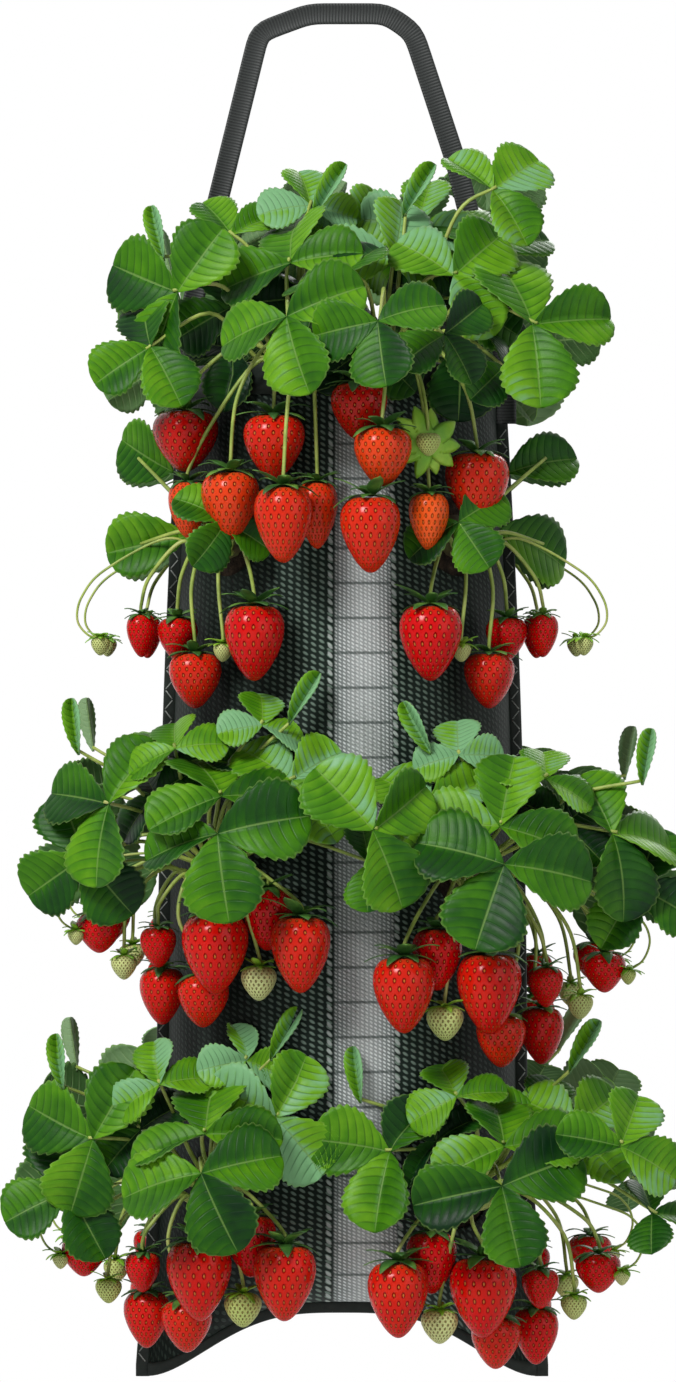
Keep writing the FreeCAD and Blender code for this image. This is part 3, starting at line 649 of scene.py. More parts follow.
# the hem's section is a rounded hook over the panels' edge, carried round each half of the mouth
def makeHem():
    outer = bag["rimRadius"] + hem["gap"]
    top = -bag["rimDrop"] + hem["gap"]
    low = -bag["rimDrop"] - hem["height"]
    far, near = outer + hem["wall"], hem["inner"] - hem["wall"]
    bend = np.linspace(0, np.pi, hem["bendSteps"])
    middle, half = (far + near) / 2, (far - near) / 2
    over = np.stack([middle + half * np.cos(bend), top + hem["wall"] * np.sin(bend)], -1)
    inside = [[near, low], [hem["inner"], low], [hem["inner"], top], [outer, top], [outer, low]]
    section = np.vstack([[[far, low]], over, inside])
    slack = hem["slotHalf"] / outer
    halves = []
    for start in (0.0, np.pi):
        turn = np.linspace(start + slack, start + np.pi - slack, hem["steps"])[:, None]
        reach, height = section[None, :, 0], section[None, :, 1]
        rings = np.stack([reach * np.cos(turn), reach * np.sin(turn), height + 0 * turn], -1)
        halves.append(sweptPatch(rings))
    piece = buildPiece("mouthHem", halves, [tapeMaterial])
    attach(piece, "bag")
    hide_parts("rim_binding")


makeHem()

# knots are (x, z) of the strap's line, and fold is where it bends between the handle and the bag
strap = {
    "width": 0.013, "thick": 0.003, "stepLength": 0.004, "smoothings": 3, "sides": 28, "edgePower": 0.35,
    "thinShare": 0.62, "edgeFrom": 0.55, "edgeOver": 0.2, "ribs": 330,
    "dark": (0.005, 0.006, 0.006), "light": (0.024, 0.028, 0.026),
    "roughness": 0.52, "specular": 0.3, "bump": (0.35, 0.0004),
    "knots": [(-0.101, -0.2466), (-0.101, -0.208), (-0.051, -0.005), (-0.020, 0.0065), (0.027, 0.0065),
              (0.044, -0.005), (0.070, -0.084), (0.101, -0.208), (0.101, -0.2466)],
    "fold": [(0, 0, -0.196), (0, 0, -0.2115)],
}


def makeStrapMaterial():
    material, tree, shader = newMaterial("wovenStrap", strap["roughness"], strap["specular"])
    along = parts(patternPlace(tree))[0]
    share = (calc("SINE", along * (2 * math.pi * strap["ribs"])) + 1.0) * 0.5
    put(mixColour(share, strap["dark"], strap["light"]), shader.inputs["Base Color"])
    bump(shader, share, *strap["bump"])
    return material


# the strap's section, a flat band with two thicker edges, is carried along a creased line
def makeStrap():
    knots = np.array(strap["knots"])
    line = []
    for a, b in zip(knots, knots[1:]):
        steps = max(3, int(np.linalg.norm(b - a) / strap["stepLength"]))
        line.append(a + (b - a) * np.linspace(0, 1, steps, endpoint=False)[:, None])
    line = np.vstack(line + [knots[-1:]])
    for _ in range(strap["smoothings"]):
        line[1:-1] = 0.25 * line[:-2] + 0.5 * line[1:-1] + 0.25 * line[2:]
    along = unit(np.gradient(line, axis=0))
    turn = roundTurns(strap["sides"])
    share = signedPower(np.cos(turn), strap["edgePower"])
    wide = strap["width"] / 2 * share
    edge = np.clip((np.abs(share) - strap["edgeFrom"]) / strap["edgeOver"], 0, 1)
    swell = strap["thinShare"] + (1 - strap["thinShare"]) * edge
    deep = strap["thick"] / 2 * swell * signedPower(np.sin(turn), strap["edgePower"])
    x = line[:, :1] - along[:, 1:] * wide
    z = line[:, 1:] + along[:, :1] * wide
    band = sweptPatch(np.stack([x, deep + 0 * x, z], -1))
    piece = buildPiece("strapLoop", [band], [makeStrapMaterial()])
    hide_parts("handle_strap", "handle_end_left", "handle_end_right")
    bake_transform(piece)


makeStrap()
print("stage: tapes, hem and strap")


# Soil

soil = {
    "inset": 0.0022, "columns": 96, "rows": 70, "topRings": 22, "lowRings": 5, "lowStart": 0.8,
    "lump": 0.00175, "broadWaves": (210, 190), "fineWaves": (330, 250), "fineShare": 0.7, "sag": 0.6,
    "lumpFade": 6, "lastTurn": math.radians(52),
}
soilLook = {
    "roughness": 0.95, "specular": 0.2, "mottle": 260.0, "grain": (900.0, 4.0, 0.8, 0.002),
    "stops": [(0.3, (0.006, 0.004, 0.003)), (0.55, (0.030, 0.019, 0.012)),
              (0.75, (0.075, 0.050, 0.032))],
}


# rings from the middle of the top out to the wall, down inside the bag, and in again below
def makeSoil():
    turn = roundTurns(soil["columns"])[None, :]
    levels = bagLevels(soil["rows"], soil["lastTurn"], soil["inset"], bag["soilDrop"])
    wallRings = bagPoints(levels, turn)
    outward = np.linspace(0, 1, soil["topRings"], endpoint=False)[:, None, None]
    topCentre = np.array([0.0, 0.0, -bag["soilDrop"]])
    topRings = topCentre + (wallRings[0] - topCentre) * outward
    # lumps: two sets of crossing waves, which fade at the wall
    level = topRings[..., :2]
    wave = np.sin(level * soil["broadWaves"]).prod(-1)
    wave += soil["fineShare"] * np.sin(level @ soil["fineWaves"])
    topRings[..., 2] += soil["lump"] * (wave - soil["sag"]) * (1 - outward[..., 0] ** soil["lumpFade"])
    lastCentre = wallRings[-1].mean(0)
    inward = np.linspace(soil["lowStart"], 0, soil["lowRings"])[:, None, None]
    lowRings = lastCentre + (wallRings[-1] - lastCentre) * inward
    rings = np.concatenate([topRings, wallRings, lowRings])
    piece = buildPiece("soil", [wrappedPatch(rings)], [makeMottled("pottingSoil", soilLook)])
    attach(piece, "bag")
    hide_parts("soil_core")


makeSoil()
print("stage: soil")


# Leaves

leaf = {
    "teeth": 9, "perTooth": 4, "columns": 12, "halfWidth": 0.50, "toothDepth": 0.085, "sweep": 0.46,
    "fold": 0.46, "droop": 0.26, "pleat": 0.009, "flatten": 0.55, "thick": 0.0007, "clear": 0.005,
    "spread": math.radians(97), "facing": (0.2, 0.3, 0.93), "tilt": 0.27, "halfTone": 0.13,
    "strayTurn": 0.12, "strayRoll": 0.35, "strayTone": 0.18, "foldRange": (0.5, 1.6),
    "droopRange": (0.5, 1.4), "growRange": (0.94, 1.05), "singles": ("high", "low"),
    "level": ("centre", "wide", "high", "low", "corner", "outer"), "lookUp": 0.7,
    "ends": (0.003, 0.9985), "belly": 1.08, "roundness": 0.58, "toothLean": 1.6, "toothMiddle": 0.55,
    "toothEdge": 9, "reach": 0.96, "sweepBend": 1.5, "sweepEase": 0.55, "pleatEdge": 7, "halfEdge": 6,
}
sprout = {"fold": 1.25, "droop": 0.1, "roll": 0.5, "tone": 0.95, "facing": np.array([0.3, -1.0, 0.2])}
# where each mark fades out, from the midrib (0) to the margin (0.5) or between two side veins
leafLook = {
    "sideVein": (0.02, 0.13), "midrib": (0.006, 0.020), "veinEnd": (0.22, 0.46), "margin": (0.465, 0.497),
    "mottle": 45.0, "mottleShare": 0.7, "pleatPaintedShade": 0.14, "midribShare": 0.30, "marginShare": 0.26,
    "paleEdge": (0.30, 0.50, 0.12), "grain": 700.0, "grainShare": 0.35, "bump": (0.4, 0.0006),
    "specular": 0.12,
}


def makeLeafMaterial(name, stops, veinLook, roughness):
    material, tree, shader = newMaterial(name, roughness, leafLook["specular"])
    along, across = parts(patternPlace(tree))
    place = objectPlace(tree)
    off = abs(across - 0.5)
    phase = calc("FRACT", along * float(leaf["teeth"]))
    sideVein = fadeOut(calc("MINIMUM", phase, 1.0 - phase), *leafLook["sideVein"])
    midrib = fadeOut(off, *leafLook["midrib"])
    vein = calc("MAXIMUM", sideVein * fadeOut(off, *leafLook["veinEnd"]), midrib)
    margin = 1.0 - fadeOut(off, *leafLook["margin"])
    shade = toneOf(tree) + (mottleOf(place, leafLook["mottle"]) - 0.5) * leafLook["mottleShare"]
    # painted shade: across each pleat one side is darker and the other lighter
    colour = ramp(shade + (phase - 0.5) * leafLook["pleatPaintedShade"], stops)
    # veins: painted shade in their grooves on the top, their own pale colour on the underside
    colour = tint(colour, vein, veinLook)
    pale = calc("MAXIMUM", midrib * leafLook["midribShare"], margin * leafLook["marginShare"])
    put(mixColour(pale, colour, leafLook["paleEdge"]), shader.inputs["Base Color"])
    bump(shader, noise(place, leafLook["grain"]) * leafLook["grainShare"] - vein, *leafLook["bump"])
    return material


leafTop = makeLeafMaterial(
    "leafTop",
    # the top's greens run from dark green in painted shade to lime and teal in painted highlight
    [(0.0, (0.002, 0.020, 0.004)), (0.3, (0.011, 0.070, 0.003)), (0.6, (0.050, 0.180, 0.004)),
     (0.85, (0.130, 0.315, 0.010)), (1.0, (0.170, 0.370, 0.170))],
    # dark veins on the top: painted shade in the vein grooves
    (0.42, (0.004, 0.036, 0.004)), 0.40)
leafUnder = makeLeafMaterial(
    "leafUnder",
    [(0.0, (0.030, 0.085, 0.022)), (0.5, (0.085, 0.190, 0.055)), (1.0, (0.220, 0.350, 0.170))],
    (0.5, (0.26, 0.40, 0.17)), 0.55)


# one leaflet over (u, v): v runs across to a round outline with teeth, and the veins sweep forward;
# its height is the fold along the midrib, the pleats between veins and a slow droop to the tip
def leafletPatch(base, along, side, normal, length, fold, droop, roll, tone):
    teeth, widest = leaf["teeth"], leaf["halfWidth"] * length
    u = np.linspace(0, 1, teeth * leaf["perTooth"] + 1)[:, None]
    v = np.linspace(-1, 1, leaf["columns"] + 1)[None, :]
    off = np.abs(v)
    inner = np.clip(u, *leaf["ends"])
    half = widest * np.sin(np.pi * inner ** leaf["belly"]) ** leaf["roundness"]
    saw = (u * teeth) % 1.0
    tooth = np.sin(np.pi * saw ** leaf["toothLean"]) - leaf["toothMiddle"]
    x = v * half * (1 + leaf["toothDepth"] * tooth * off ** leaf["toothEdge"])
    sweep = leaf["sweep"] * off ** leaf["sweepBend"] * (1 - leaf["sweepEase"] * u)
    y = length * u * leaf["reach"] + sweep * half
    pleat = np.sin(np.pi * saw) * np.sqrt(off) * (1 - off ** leaf["pleatEdge"])
    levelling = 1 - leaf["flatten"] * np.abs(x) / widest
    z = math.sin(fold) * np.abs(x) * levelling + leaf["pleat"] * length * pleat
    z = z - droop * y**2 / length
    x = x * math.cos(fold)
    turned = side * math.cos(roll) + normal * math.sin(roll)
    raised = normal * math.cos(roll) - side * math.sin(roll)
    points = base + y[..., None] * along + x[..., None] * turned + z[..., None] * raised
    uv = np.stack([u + 0 * v, 0.5 + 0.5 * v + 0 * u], -1)
    # painted light and shade: one half of the leaflet lighter and the other darker, as light falls on the
    # fold
    return patch(points, uv, tone=tone + leaf["halfTone"] * np.tanh(leaf["halfEdge"] * v) + 0 * u)


# points that would lie in the bag are moved straight out to just in front of it
def clearOfBag(points):
    reach = np.hypot(points[..., 0], points[..., 1])
    least = roundRadius(-points[..., 2]) + leaf["clear"]
    inside = (reach < least) & (-points[..., 2] > bag["rimDrop"] - leaf["clear"])
    grow = np.where(inside, least / np.maximum(reach, 1e-6), 1.0)
    return points * np.stack([grow, grow, np.ones_like(grow)], -1)


def stray(name):
    return random.uniform(-leaf[name], leaf[name])


# three leaflets round a hub, or a single one across it
def leafPatches(hub, tip, face, length, tone, single):
    normal = unit(unit(face) + random.uniform(-leaf["tilt"], leaf["tilt"], 3))
    tip = unit(tip - normal * (tip @ normal))
    side = np.cross(tip, normal)
    turns = (-leaf["spread"], 0.0, leaf["spread"])
    if single:
        hub = hub - tip * length * 0.5
        turns = (0.0,)
    patches = []
    for turn in turns:
        bend = turn + stray("strayTurn")
        along = tip * math.cos(bend) + side * math.sin(bend)
        beside = np.cross(along, normal)
        fold = leaf["fold"] * random.uniform(*leaf["foldRange"])
        droop = leaf["droop"] * random.uniform(*leaf["droopRange"])
        grow = length * random.uniform(*leaf["growRange"])
        roll = stray("strayRoll")
        shade = tone + stray("strayTone")
        leaflet = leafletPatch(hub, along, beside, normal, grow, fold, droop, roll, shade)
        leaflet["points"] = clearOfBag(leaflet["points"])
        patches.append(leaflet)
    return patches


# Plants: places from each crown as (across, up, out) in mm, seen from the front

mm = 0.001


# a place in metres, or a direction whose length doesn't matter
def fromCrown(place, mirrored=1):
    return np.array([mirrored * place[0], -place[2], place[1]]) * mm


# hub, leaflet length, the way the end leaflet points, and tone, which carries painted light and shade
# besides the leaf's own green: fill leaves deep by the rim dark, high leaves light
sideLeaves = {
    "outer": ((-74, 37, 45), 50, (-9, 4, 2), 0.45),
    "centre": ((-8, 20, 92), 54, (2.5, -10, 1), 0.40),
    "upper": ((-6, 42, 72), 48, (-2, 10, 1), 0.62),
    "crest": ((18, 84, 40), 30, (1, 10, 0), 0.95),
    "inner": ((36, 51, 54), 46, (6, 8, 1), 0.85),
    "wide": ((84, 22, 98), 50, (8, 5, 1), 0.58),
    "lowOuter": ((-89, 5, 30), 46, (-9, -4, 1), 0.30),
    "lowInner": ((82, 2, 72), 32, (9.5, 1, 1), 0.35),
    "fillHigh": ((-34, 70, 46), 34, (-3, 10, 0), 0.80),
    "fillMiddle": ((16, 56, 36), 36, (4, 9, 0), 0.25),
    "fillOuter": ((-46, 42, 30), 36, (-5, 6, 0), 0.12),
}
upperLeaves = {
    "high": ((-52, 48, -36), 44, (-9, 3.5, -1), 0.30),
    "low": ((-50, -3, -26), 52, (-9, -2, -1), 0.50),
    "near": ((0, 8, 40), 36, (-5, -8, 3), 0.40),
}
topLeftLeaves = {
    "outer": ((-72, 63, 45), 50, (-9, 4, 2), 0.40),
    "centre": ((-6, 46, 88), 50, (2.5, -10, 1), 0.45),
    "upper": ((-4, 81, 40), 48, (-3, 10, 1), 0.60),
    "crest": ((8, 118, 6), 34, (1, 10, 0), 0.95),
    "lowOuter": ((-88, 30, 50), 42, (-9, -4, 1), 0.35),
    "fillNear": ((14, 56, 34), 42, (8, 2, 0), 0.15),
    "fillFar": ((-40, 56, 14), 44, (-4, 9, 0), 0.20),
    "fillHigh": ((-40, 100, 8), 36, (-5, 8, 0), 0.75),
    "fillBack": ((34, 98, -12), 40, (5, 8, 0), 0.90),
    "fillMiddle": ((-34, 30, 6), 42, (-6, 4, 0), 0.10),
    "fillRim": ((20, 28, 14), 42, (6, -2, 0), 0.08),
}
topRightLeaves = {
    "centre": ((-6, 42, 110), 42, (2, -10, 1), 0.42),
    "upper": ((4, 85, 22), 44, (2, 10, 1), 0.85),
    "inner": ((40, 73, 45), 46, (7, 7, 1), 0.70),
    "wide": ((87, 43, 55), 54, (9, 3, 1), 0.50),
    "lowInner": ((70, 18, 50), 34, (9, -5, 1), 0.45),
    "corner": ((64, 126, 25), 42, (7, 7, 0), 0.80),
    "fillNear": ((-32, 68, 62), 40, (-6, 6, 1), 0.30),
    "fillFar": ((20, 108, -10), 40, (2, 10, 0), 0.85),
    "fillHigh": ((58, 90, 8), 46, (8, 5, 0), 0.35),
    "fillLow": ((34, 36, 76), 36, (5, -8, 0), 0.25),
    "fillMiddle": ((-12, 30, 34), 40, (-5, -4, 0), 0.10),
    "fillRim": ((44, 32, 10), 46, (7, 2, 0), 0.10),
    "fillGap": ((42, 60, 18), 44, (3, 9, 0), 0.12),
}
# young leaves, still folded: foot of the blade, length, and the way it points
sideSprouts = [((-92, 66, 40), 36, (-1.5, 10, 0)), ((34, 84, 40), 38, (5, 9, 0))]
topSprouts = [((-80, 82, 40), 36, (-2.5, 10, 0)), ((10, 110, 10), 40, (5, 9, 0))]
narrowWideLeaf = ((62, 44, 98), 42, (4, 9, 1), 0.6)

# fruit: centre, width, length, bend of its stalk, and tone (0 red, 1 orange)
sideFruit = [
    ((50, -47, 64), 37, 49, (30, 0, 45), 0.10),
    ((30, -27, 44), 30, 40, (18, -4, 30), 0.0),
    ((-1, -47, 48), 40, 52, (4, -2, 30), 0.05),
    ((-9, -77, 26), 31, 34, (-30, -14, 22), 0.15),
    ((-34, -75, 4), 28, 37, (-40, -8, 8), 0.05),
    ((-36, -45, 22), 22, 26, (-34, -12, 24), 0.0),
    ((-72, -37, 5), 27, 26, (-62, 0, 14), 0.0),
]
upperFruit = [
    ((17, -63, 42), 37, 49, (12, -8, 22), 0.0),
    ((-19, -86, 14), 31, 36, (-22, -14, 14), 0.1),
    ((-30, -61, -4), 25, 28, (-26, -12, 8), 0.0),
    ((-52, -59, -8), 19, 28, (-44, -14, 4), 0.0),
]
topLeftFruit = [
    ((12, -95, 22), 25, 43, (10, -8, 22), 0.35),
    ((-8, -101, 48), 34, 49, (-4, -6, 40), 0.25),
    ((-14, -54, 18), 38, 42, (-12, -2, 18), 0.15),
    ((-40, -89, 16), 36, 44, (-34, -6, 20), 0.45),
    ((-68, -49, -20), 41, 40, (-56, -2, 4), 0.05),
    ((-66, -91, -14), 25, 37, (-48, -30, 4), 0.55),
]
topRightFruit = [
    ((-17, -33, 26), 34, 37, (-14, 2, 22), 0.1),
    ((-3, -61, 46), 34, 38, (0, 0, 36), 0.45),
    ((-10, -107, 48), 37, 49, (-4, -62, 20), 0.2),
    ((25, -99, 22), 25, 37, (20, -8, 22), 1.0),
    ((54, -78, 4), 38, 46, (44, -4, 12), 0.2),
]
# unripe fruit: centre, radius, and bend of its stalk
sideBud = ((-86, -40, 10), 5, (-60, 4, 12))
upperBud = ((-77, -66, -8), 6, (-60, -10, 0))
sideUnripe = [((25, -66, 44), 11, (10, 2, 58)), ((-57, -58, 8), 8, (-52, -4, 14)), sideBud]
upperUnripe = [((-2, -70, 26), 6, (-6, -14, 16)), upperBud]
topUnripe = [((24, -54, 34), 10, (18, -2, 22))]
# stalks that swing wide on their way down, by the place of their fruit
loops = {
    sideBud[0]: [(-80, 2, 12), (-94, -6, 12), (-99, -18, 12), (-95, -30, 11)],
    upperBud[0]: [(-74, -20, -4), (-88, -36, -6), (-91, -50, -8), (-85, -59, -8)],
}


def without(leaves, *names):
    return {key: value for key, value in leaves.items() if key not in names}


fewLeaves = without(sideLeaves, "wide", "lowInner")
restLeaves = without(sideLeaves, "crest", "lowOuter")
restLeaves["wide"] = narrowWideLeaf
noShift = (0, 0, 0)
# leaves and whether they are mirrored, their shift, fruit, unripe fruit, mirrored, shift, and stalk lift
plants = {
    "top_left": (topLeftLeaves, 1, noShift, topLeftFruit, [], 1, noShift, 0.6),
    "top_right": (topRightLeaves, 1, noShift, topRightFruit, topUnripe, 1, noShift, 0.6),
    "upper_left": (upperLeaves, 1, noShift, upperFruit, upperUnripe, 1, noShift, 0.06),
    "upper_right": (upperLeaves, -1, noShift, upperFruit, upperUnripe, -1, noShift, 0.06),
    "middle_left": (sideLeaves, 1, (9, 4, 0), sideFruit, sideUnripe, 1, noShift, 0.16),
    "middle_right": (fewLeaves, -1, (13, -14, 4), sideFruit, sideUnripe, -1, (12, -24, 0), 0.16),
    "lower_left": (fewLeaves, 1, (0, -3, 0), sideFruit, sideUnripe, 1, (-9, -2, 0), 0.16),
    "lower_right": (restLeaves, 1, (27, -10, 6), sideFruit, sideUnripe, -1, (8, -12, 0), 0.16),
}
crown = {
    "radius": 0.016, "proud": 0.004, "depth": 0.012, "sides": 14,
    "swell": (0.63, 0.765, 0.855, 0.855, 0.765, 0.54), "footArc": math.radians(200), "footRing": 0.0053,
    "mostLift": 0.34, "bow": 0.10, "start": 0.002, "end": 0.003, "stalk": 0.0014, "taper": (1.15, 0.75),
    "stalkSides": 7, "stalkSteps": 6,
}
stalkLook = {"specular": 0.4, "mottle": 70.0, "grain": (600.0, 2.0, 0.3, 0.0005)}
# colours and roughness
stalkLooks = {
    "stalkGreen": ([(0.3, (0.16, 0.24, 0.035)), (0.55, (0.33, 0.42, 0.08)),
                    (0.75, (0.40, 0.40, 0.14))], 0.45),
    "crownBrown": ([(0.3, (0.030, 0.020, 0.010)), (0.55, (0.090, 0.075, 0.025)),
                    (0.75, (0.13, 0.17, 0.05))], 0.8),
    "calyxGreen": ([(0.25, (0.010, 0.050, 0.008)), (0.5, (0.040, 0.130, 0.018)),
                    (0.75, (0.16, 0.32, 0.04))], 0.5),
    "starGreen": ([(0.25, (0.10, 0.30, 0.01)), (0.5, (0.20, 0.42, 0.02)),
                   (0.75, (0.34, 0.54, 0.06))], 0.5),
}
stalkGreen, crownBrown, calyxGreen, starGreen = [
    makeMottled(name, dict(stalkLook, stops=stops, roughness=roughness))
    for name, (stops, roughness) in stalkLooks.items()
]


def pascal(name):
    return "".join(word.capitalize() for word in name.split("_"))


# stalk line from a crown: out of its face, over a bend, to the hub
def petiolePatch(foot, out, hub, tip, lift):
    lift = min(lift, crown["mostLift"])
    span = np.linalg.norm(hub - foot)
    outward = unit((foot + hub) * [1, 1, 0])
    bend = (foot + hub) / 2 + outward * crown["bow"] * span + up * lift * span
    start = foot + (bend - foot) * 0.5 + out * crown["start"]
    path = smoothPath([foot, start, bend, hub + tip * crown["end"]], crown["stalkSteps"])
    thick = np.linspace(*crown["taper"], len(path)) * crown["stalk"]
    return tubePatch(path, thick, crown["stalkSides"])


# the leaves of a plant in their order round its crown, each with the foot of its stalk
def petioleFeet(name, leaves, mirrored):
    point, out = seats[name]
    first = unit(np.cross(out, up if abs(out[2]) < 0.9 else np.array([0.0, 1.0, 0.0])))
    second = np.cross(out, first)

    def turnOf(label):
        lean = fromCrown(leaves[label][0], mirrored)
        return math.atan2(lean @ second, lean @ first)

    ordered = sorted(leaves, key=turnOf)
    start = turnOf(ordered[0])
    arc = 2 * math.pi
    # on the side of the bag the feet keep to the upper arc, clear of the fruit below
    if not name.startswith("top"):
        arc = crown["footArc"]
        start = math.atan2(up @ second, up @ first) - arc / 2
        ordered = sorted(leaves, key=lambda label: (turnOf(label) - start + math.pi) % (2 * math.pi))
    feet = {}
    for k, label in enumerate(ordered):
        turn = start + arc * (k + 0.5) / len(ordered)
        ring = first * math.cos(turn) + second * math.sin(turn)
        feet[label] = point + out * crown["proud"] + ring * crown["footRing"]
    return feet


# leaflets and stalks of one plant on the front
def growPlant(name):
    leaves, mirrored, shift, _, _, _, _, lift = plants[name]
    point, out = seats[name]
    centre = point + fromCrown(shift)
    foliage, petioles = [], []
    for label, foot in petioleFeet(name, leaves, mirrored).items():
        place, length, tip, tone = leaves[label]
        hub = centre + fromCrown(place, mirrored)
        sideways, upward, forward = leaf["facing"]
        if label not in leaf["level"]:
            upward += random.uniform(0, leaf["lookUp"])
        face = fromCrown((math.copysign(sideways, place[0]), upward, forward), mirrored)
        way = unit(fromCrown(tip, mirrored))
        foliage += leafPatches(hub, way, face, length * mm, tone, label in leaf["singles"])
        petioles.append(petiolePatch(foot, out, hub, way, lift))
    for place, length, tip in topSprouts if name.startswith("top") else sideSprouts:
        if name.startswith("upper") or (name == "top_right" and place[0] < 0):
            continue
        base = clearOfBag(centre + fromCrown(place, mirrored))
        way = unit(fromCrown(tip, mirrored))
        side = unit(np.cross(way, sprout["facing"]))
        foliage.append(leafletPatch(base, way, side, np.cross(side, way), length * mm, sprout["fold"],
                                    sprout["droop"], sprout["roll"], sprout["tone"]))
        petioles.append(petiolePatch(point + out * crown["proud"], out, base, way, lift))
    return foliage, petioles


def makeLeaves():
    petioles, crowns = [], []
    swell = np.array(crown["swell"]) * crown["radius"]
    for name in plants:
        foliage, stalks = growPlant(name)
        petioles += stalks
        point, out = seats[name]
        knob = np.linspace(-crown["depth"], crown["proud"], len(swell))[:, None]
        crowns.append(tubePatch(point + knob * out, swell, crown["sides"]))
        for face, place in bagFaces:
            turned = [place(p) for p in foliage]
            piece = buildPiece(face + pascal(name) + "Leaves", turned, [leafTop, leafUnder], closed=False)
            thicken(piece, "blade", leaf["thick"]).material_offset = 1
            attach(piece, "bag")
            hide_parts("%s_%s_leaves" % (face, name))
    for name, patches, material in (("leafStalks", petioles, stalkGreen), ("crowns", crowns, crownBrown)):
        piece = buildPiece(name, patches + [behind(p) for p in patches], [material])
        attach(piece, "bag")


makeLeaves()
print("stage: leaves")


# Fruit

berry = {
    "rows": 40, "columns": 48, "seedRows": 15.0, "seedColumns": 20.0, "broad": 0.36,
    "dent": 0.00045, "dentTall": 0.36, "dentWide": 0.30, "twoLobes": 0.03, "threeLobes": 0.02,
    "dip": 0.10, "dipWide": 0.45, "mottle": 38.0, "mottleShare": 0.35, "shoulder": (0.05, 0.30),
    "shoulderLook": (0.30, (0.80, 0.22, 0.05)), "dentLook": (0.55, (0.20, 0.0, 0.0)), "seedShare": 0.42,
    "specular": 0.15, "bump": (1.0, 0.0013), "unripeTone": 0.6,
}
blade = {"end": 0.99, "power": 0.8, "tip": 0.0002, "sides": 6}
sepal = {"count": 11, "stray": 0.15, "length": (0.46, 0.66), "width": 0.20, "foot": 0.12,
         "rise": (0.25, 0.75), "curl": (0.25, 0.60), "curlPower": 2.2, "sink": 0.0008, "thin": 0.00035,
         "leastFruit": 0.018, "steps": 7}
star = {"count": 10, "stray": 0.2, "length": 0.023, "grow": (0.8, 1.08), "width": 0.24, "foot": 0.10,
        "rise": 0.004, "bendBack": 0.010, "thin": 0.0004, "fruit": 0.0075, "fruitOut": 0.002,
        "inside": 0.1, "steps": 8}
truss = {
    "arc": 0.009, "stalk": 0.0011, "loop": 0.0007, "taper": (1.25, 0.95), "sides": 7, "steps": 8,
    "knuckle": 0.0025, "knuckleLength": 0.024, "knuckleDrop": 0.010, "knuckleSides": 10,
    "knuckleForm": (0.6, 0.85, 0.95, 1, 1, 1, 0.95, 0.85, 0.6), "gap": 0.0003, "hemTop": 0.0015,
    "slotShare": 0.85, "footOut": 0.7, "fruitTop": 0.45, "fallShare": 0.3, "neck": 0.006, "sink": 0.001,
}


def makeBerryMaterial(name, red, orange, seedColour, roughness):
    material, tree, shader = newMaterial(name, roughness, berry["specular"])
    place = patternPlace(tree)
    seeds = useGroup(seedRows, Place=place, Rows=berry["seedRows"], Columns=berry["seedColumns"])
    blotch = mottleOf(objectPlace(tree), berry["mottle"]) - 0.5
    colour = mixColour(toneOf(tree) + blotch * berry["mottleShare"], red, orange)
    shoulder = fadeOut(parts(place)[0], *berry["shoulder"])
    colour = tint(colour, shoulder, berry["shoulderLook"])
    # painted shade: the skin is darkened in the seed dimples
    colour = tint(colour, seeds["Dent"], berry["dentLook"])
    colour = tint(colour, seeds["Seed"], (berry["seedShare"], seedColour))
    put(colour, shader.inputs["Base Color"])
    bump(shader, seeds["Seed"] - seeds["Dent"], *berry["bump"])
    return material


ripeSkin = makeBerryMaterial(
    "ripeSkin", (0.54, 0.001, 0.002), (0.76, 0.09, 0.010), (0.84, 0.36, 0.05), 0.20)
greenSkin = makeBerryMaterial(
    "greenSkin", (0.46, 0.54, 0.16), (0.66, 0.66, 0.34), (0.40, 0.34, 0.06), 0.42)
# the material numbers of a truss, after its stalks
calyxFinish, unripeFinish, starFinish = 1, 2, 3


# a heart-shaped turned form: radius sin(a) (1 + broad cos(a)) from top to tip, with staggered dents
def berryPatch(centre, width, length, tone, finish=0):
    a = np.linspace(0, np.pi, berry["rows"])[:, None]
    turn = roundTurns(berry["columns"])[None, :]
    form = np.sin(a) * (1 + berry["broad"] * np.cos(a))
    form = form / form.max()
    lobes = 1 + berry["twoLobes"] * np.cos(2 * turn + random.uniform(0, 6))
    lobes = lobes + berry["threeLobes"] * np.cos(3 * turn + random.uniform(0, 6))
    row = a / np.pi * berry["seedRows"]
    column = turn / (2 * np.pi) * berry["seedColumns"] + 0.5 * np.round(row)
    offRow = (row - np.round(row)) / berry["dentTall"]
    offColumn = (column - np.round(column)) / berry["dentWide"]
    dents = berry["dent"] * np.exp(-(offRow**2 + offColumn**2)) * np.sin(a) ** 0.5
    radius = np.maximum(width / 2 * form * lobes - dents, 0) * (np.sin(a) > 1e-6)
    dip = berry["dip"] * length * np.exp(-((a / berry["dipWide"]) ** 2))
    z = length / 2 * np.cos(a) - dip + 0 * turn
    points = centre + np.stack([radius * np.cos(turn), radius * np.sin(turn), z], -1)
    return wrappedPatch(points, tone, finish)


# a thin pointed blade along a path: half its width goes with a power of sin(pi u), u from foot to end
def bladePatch(path, share, width, foot, beside, thin, finish):
    u = foot + (blade["end"] - foot) * share
    half = width * np.sin(np.pi * u) ** blade["power"] + blade["tip"]
    turn = roundTurns(blade["sides"])[None, :, None]
    ring = beside * np.cos(turn) * half[:, None, None] + thin * np.sin(turn)
    return sweptPatch(path[:, None] + ring, finish)


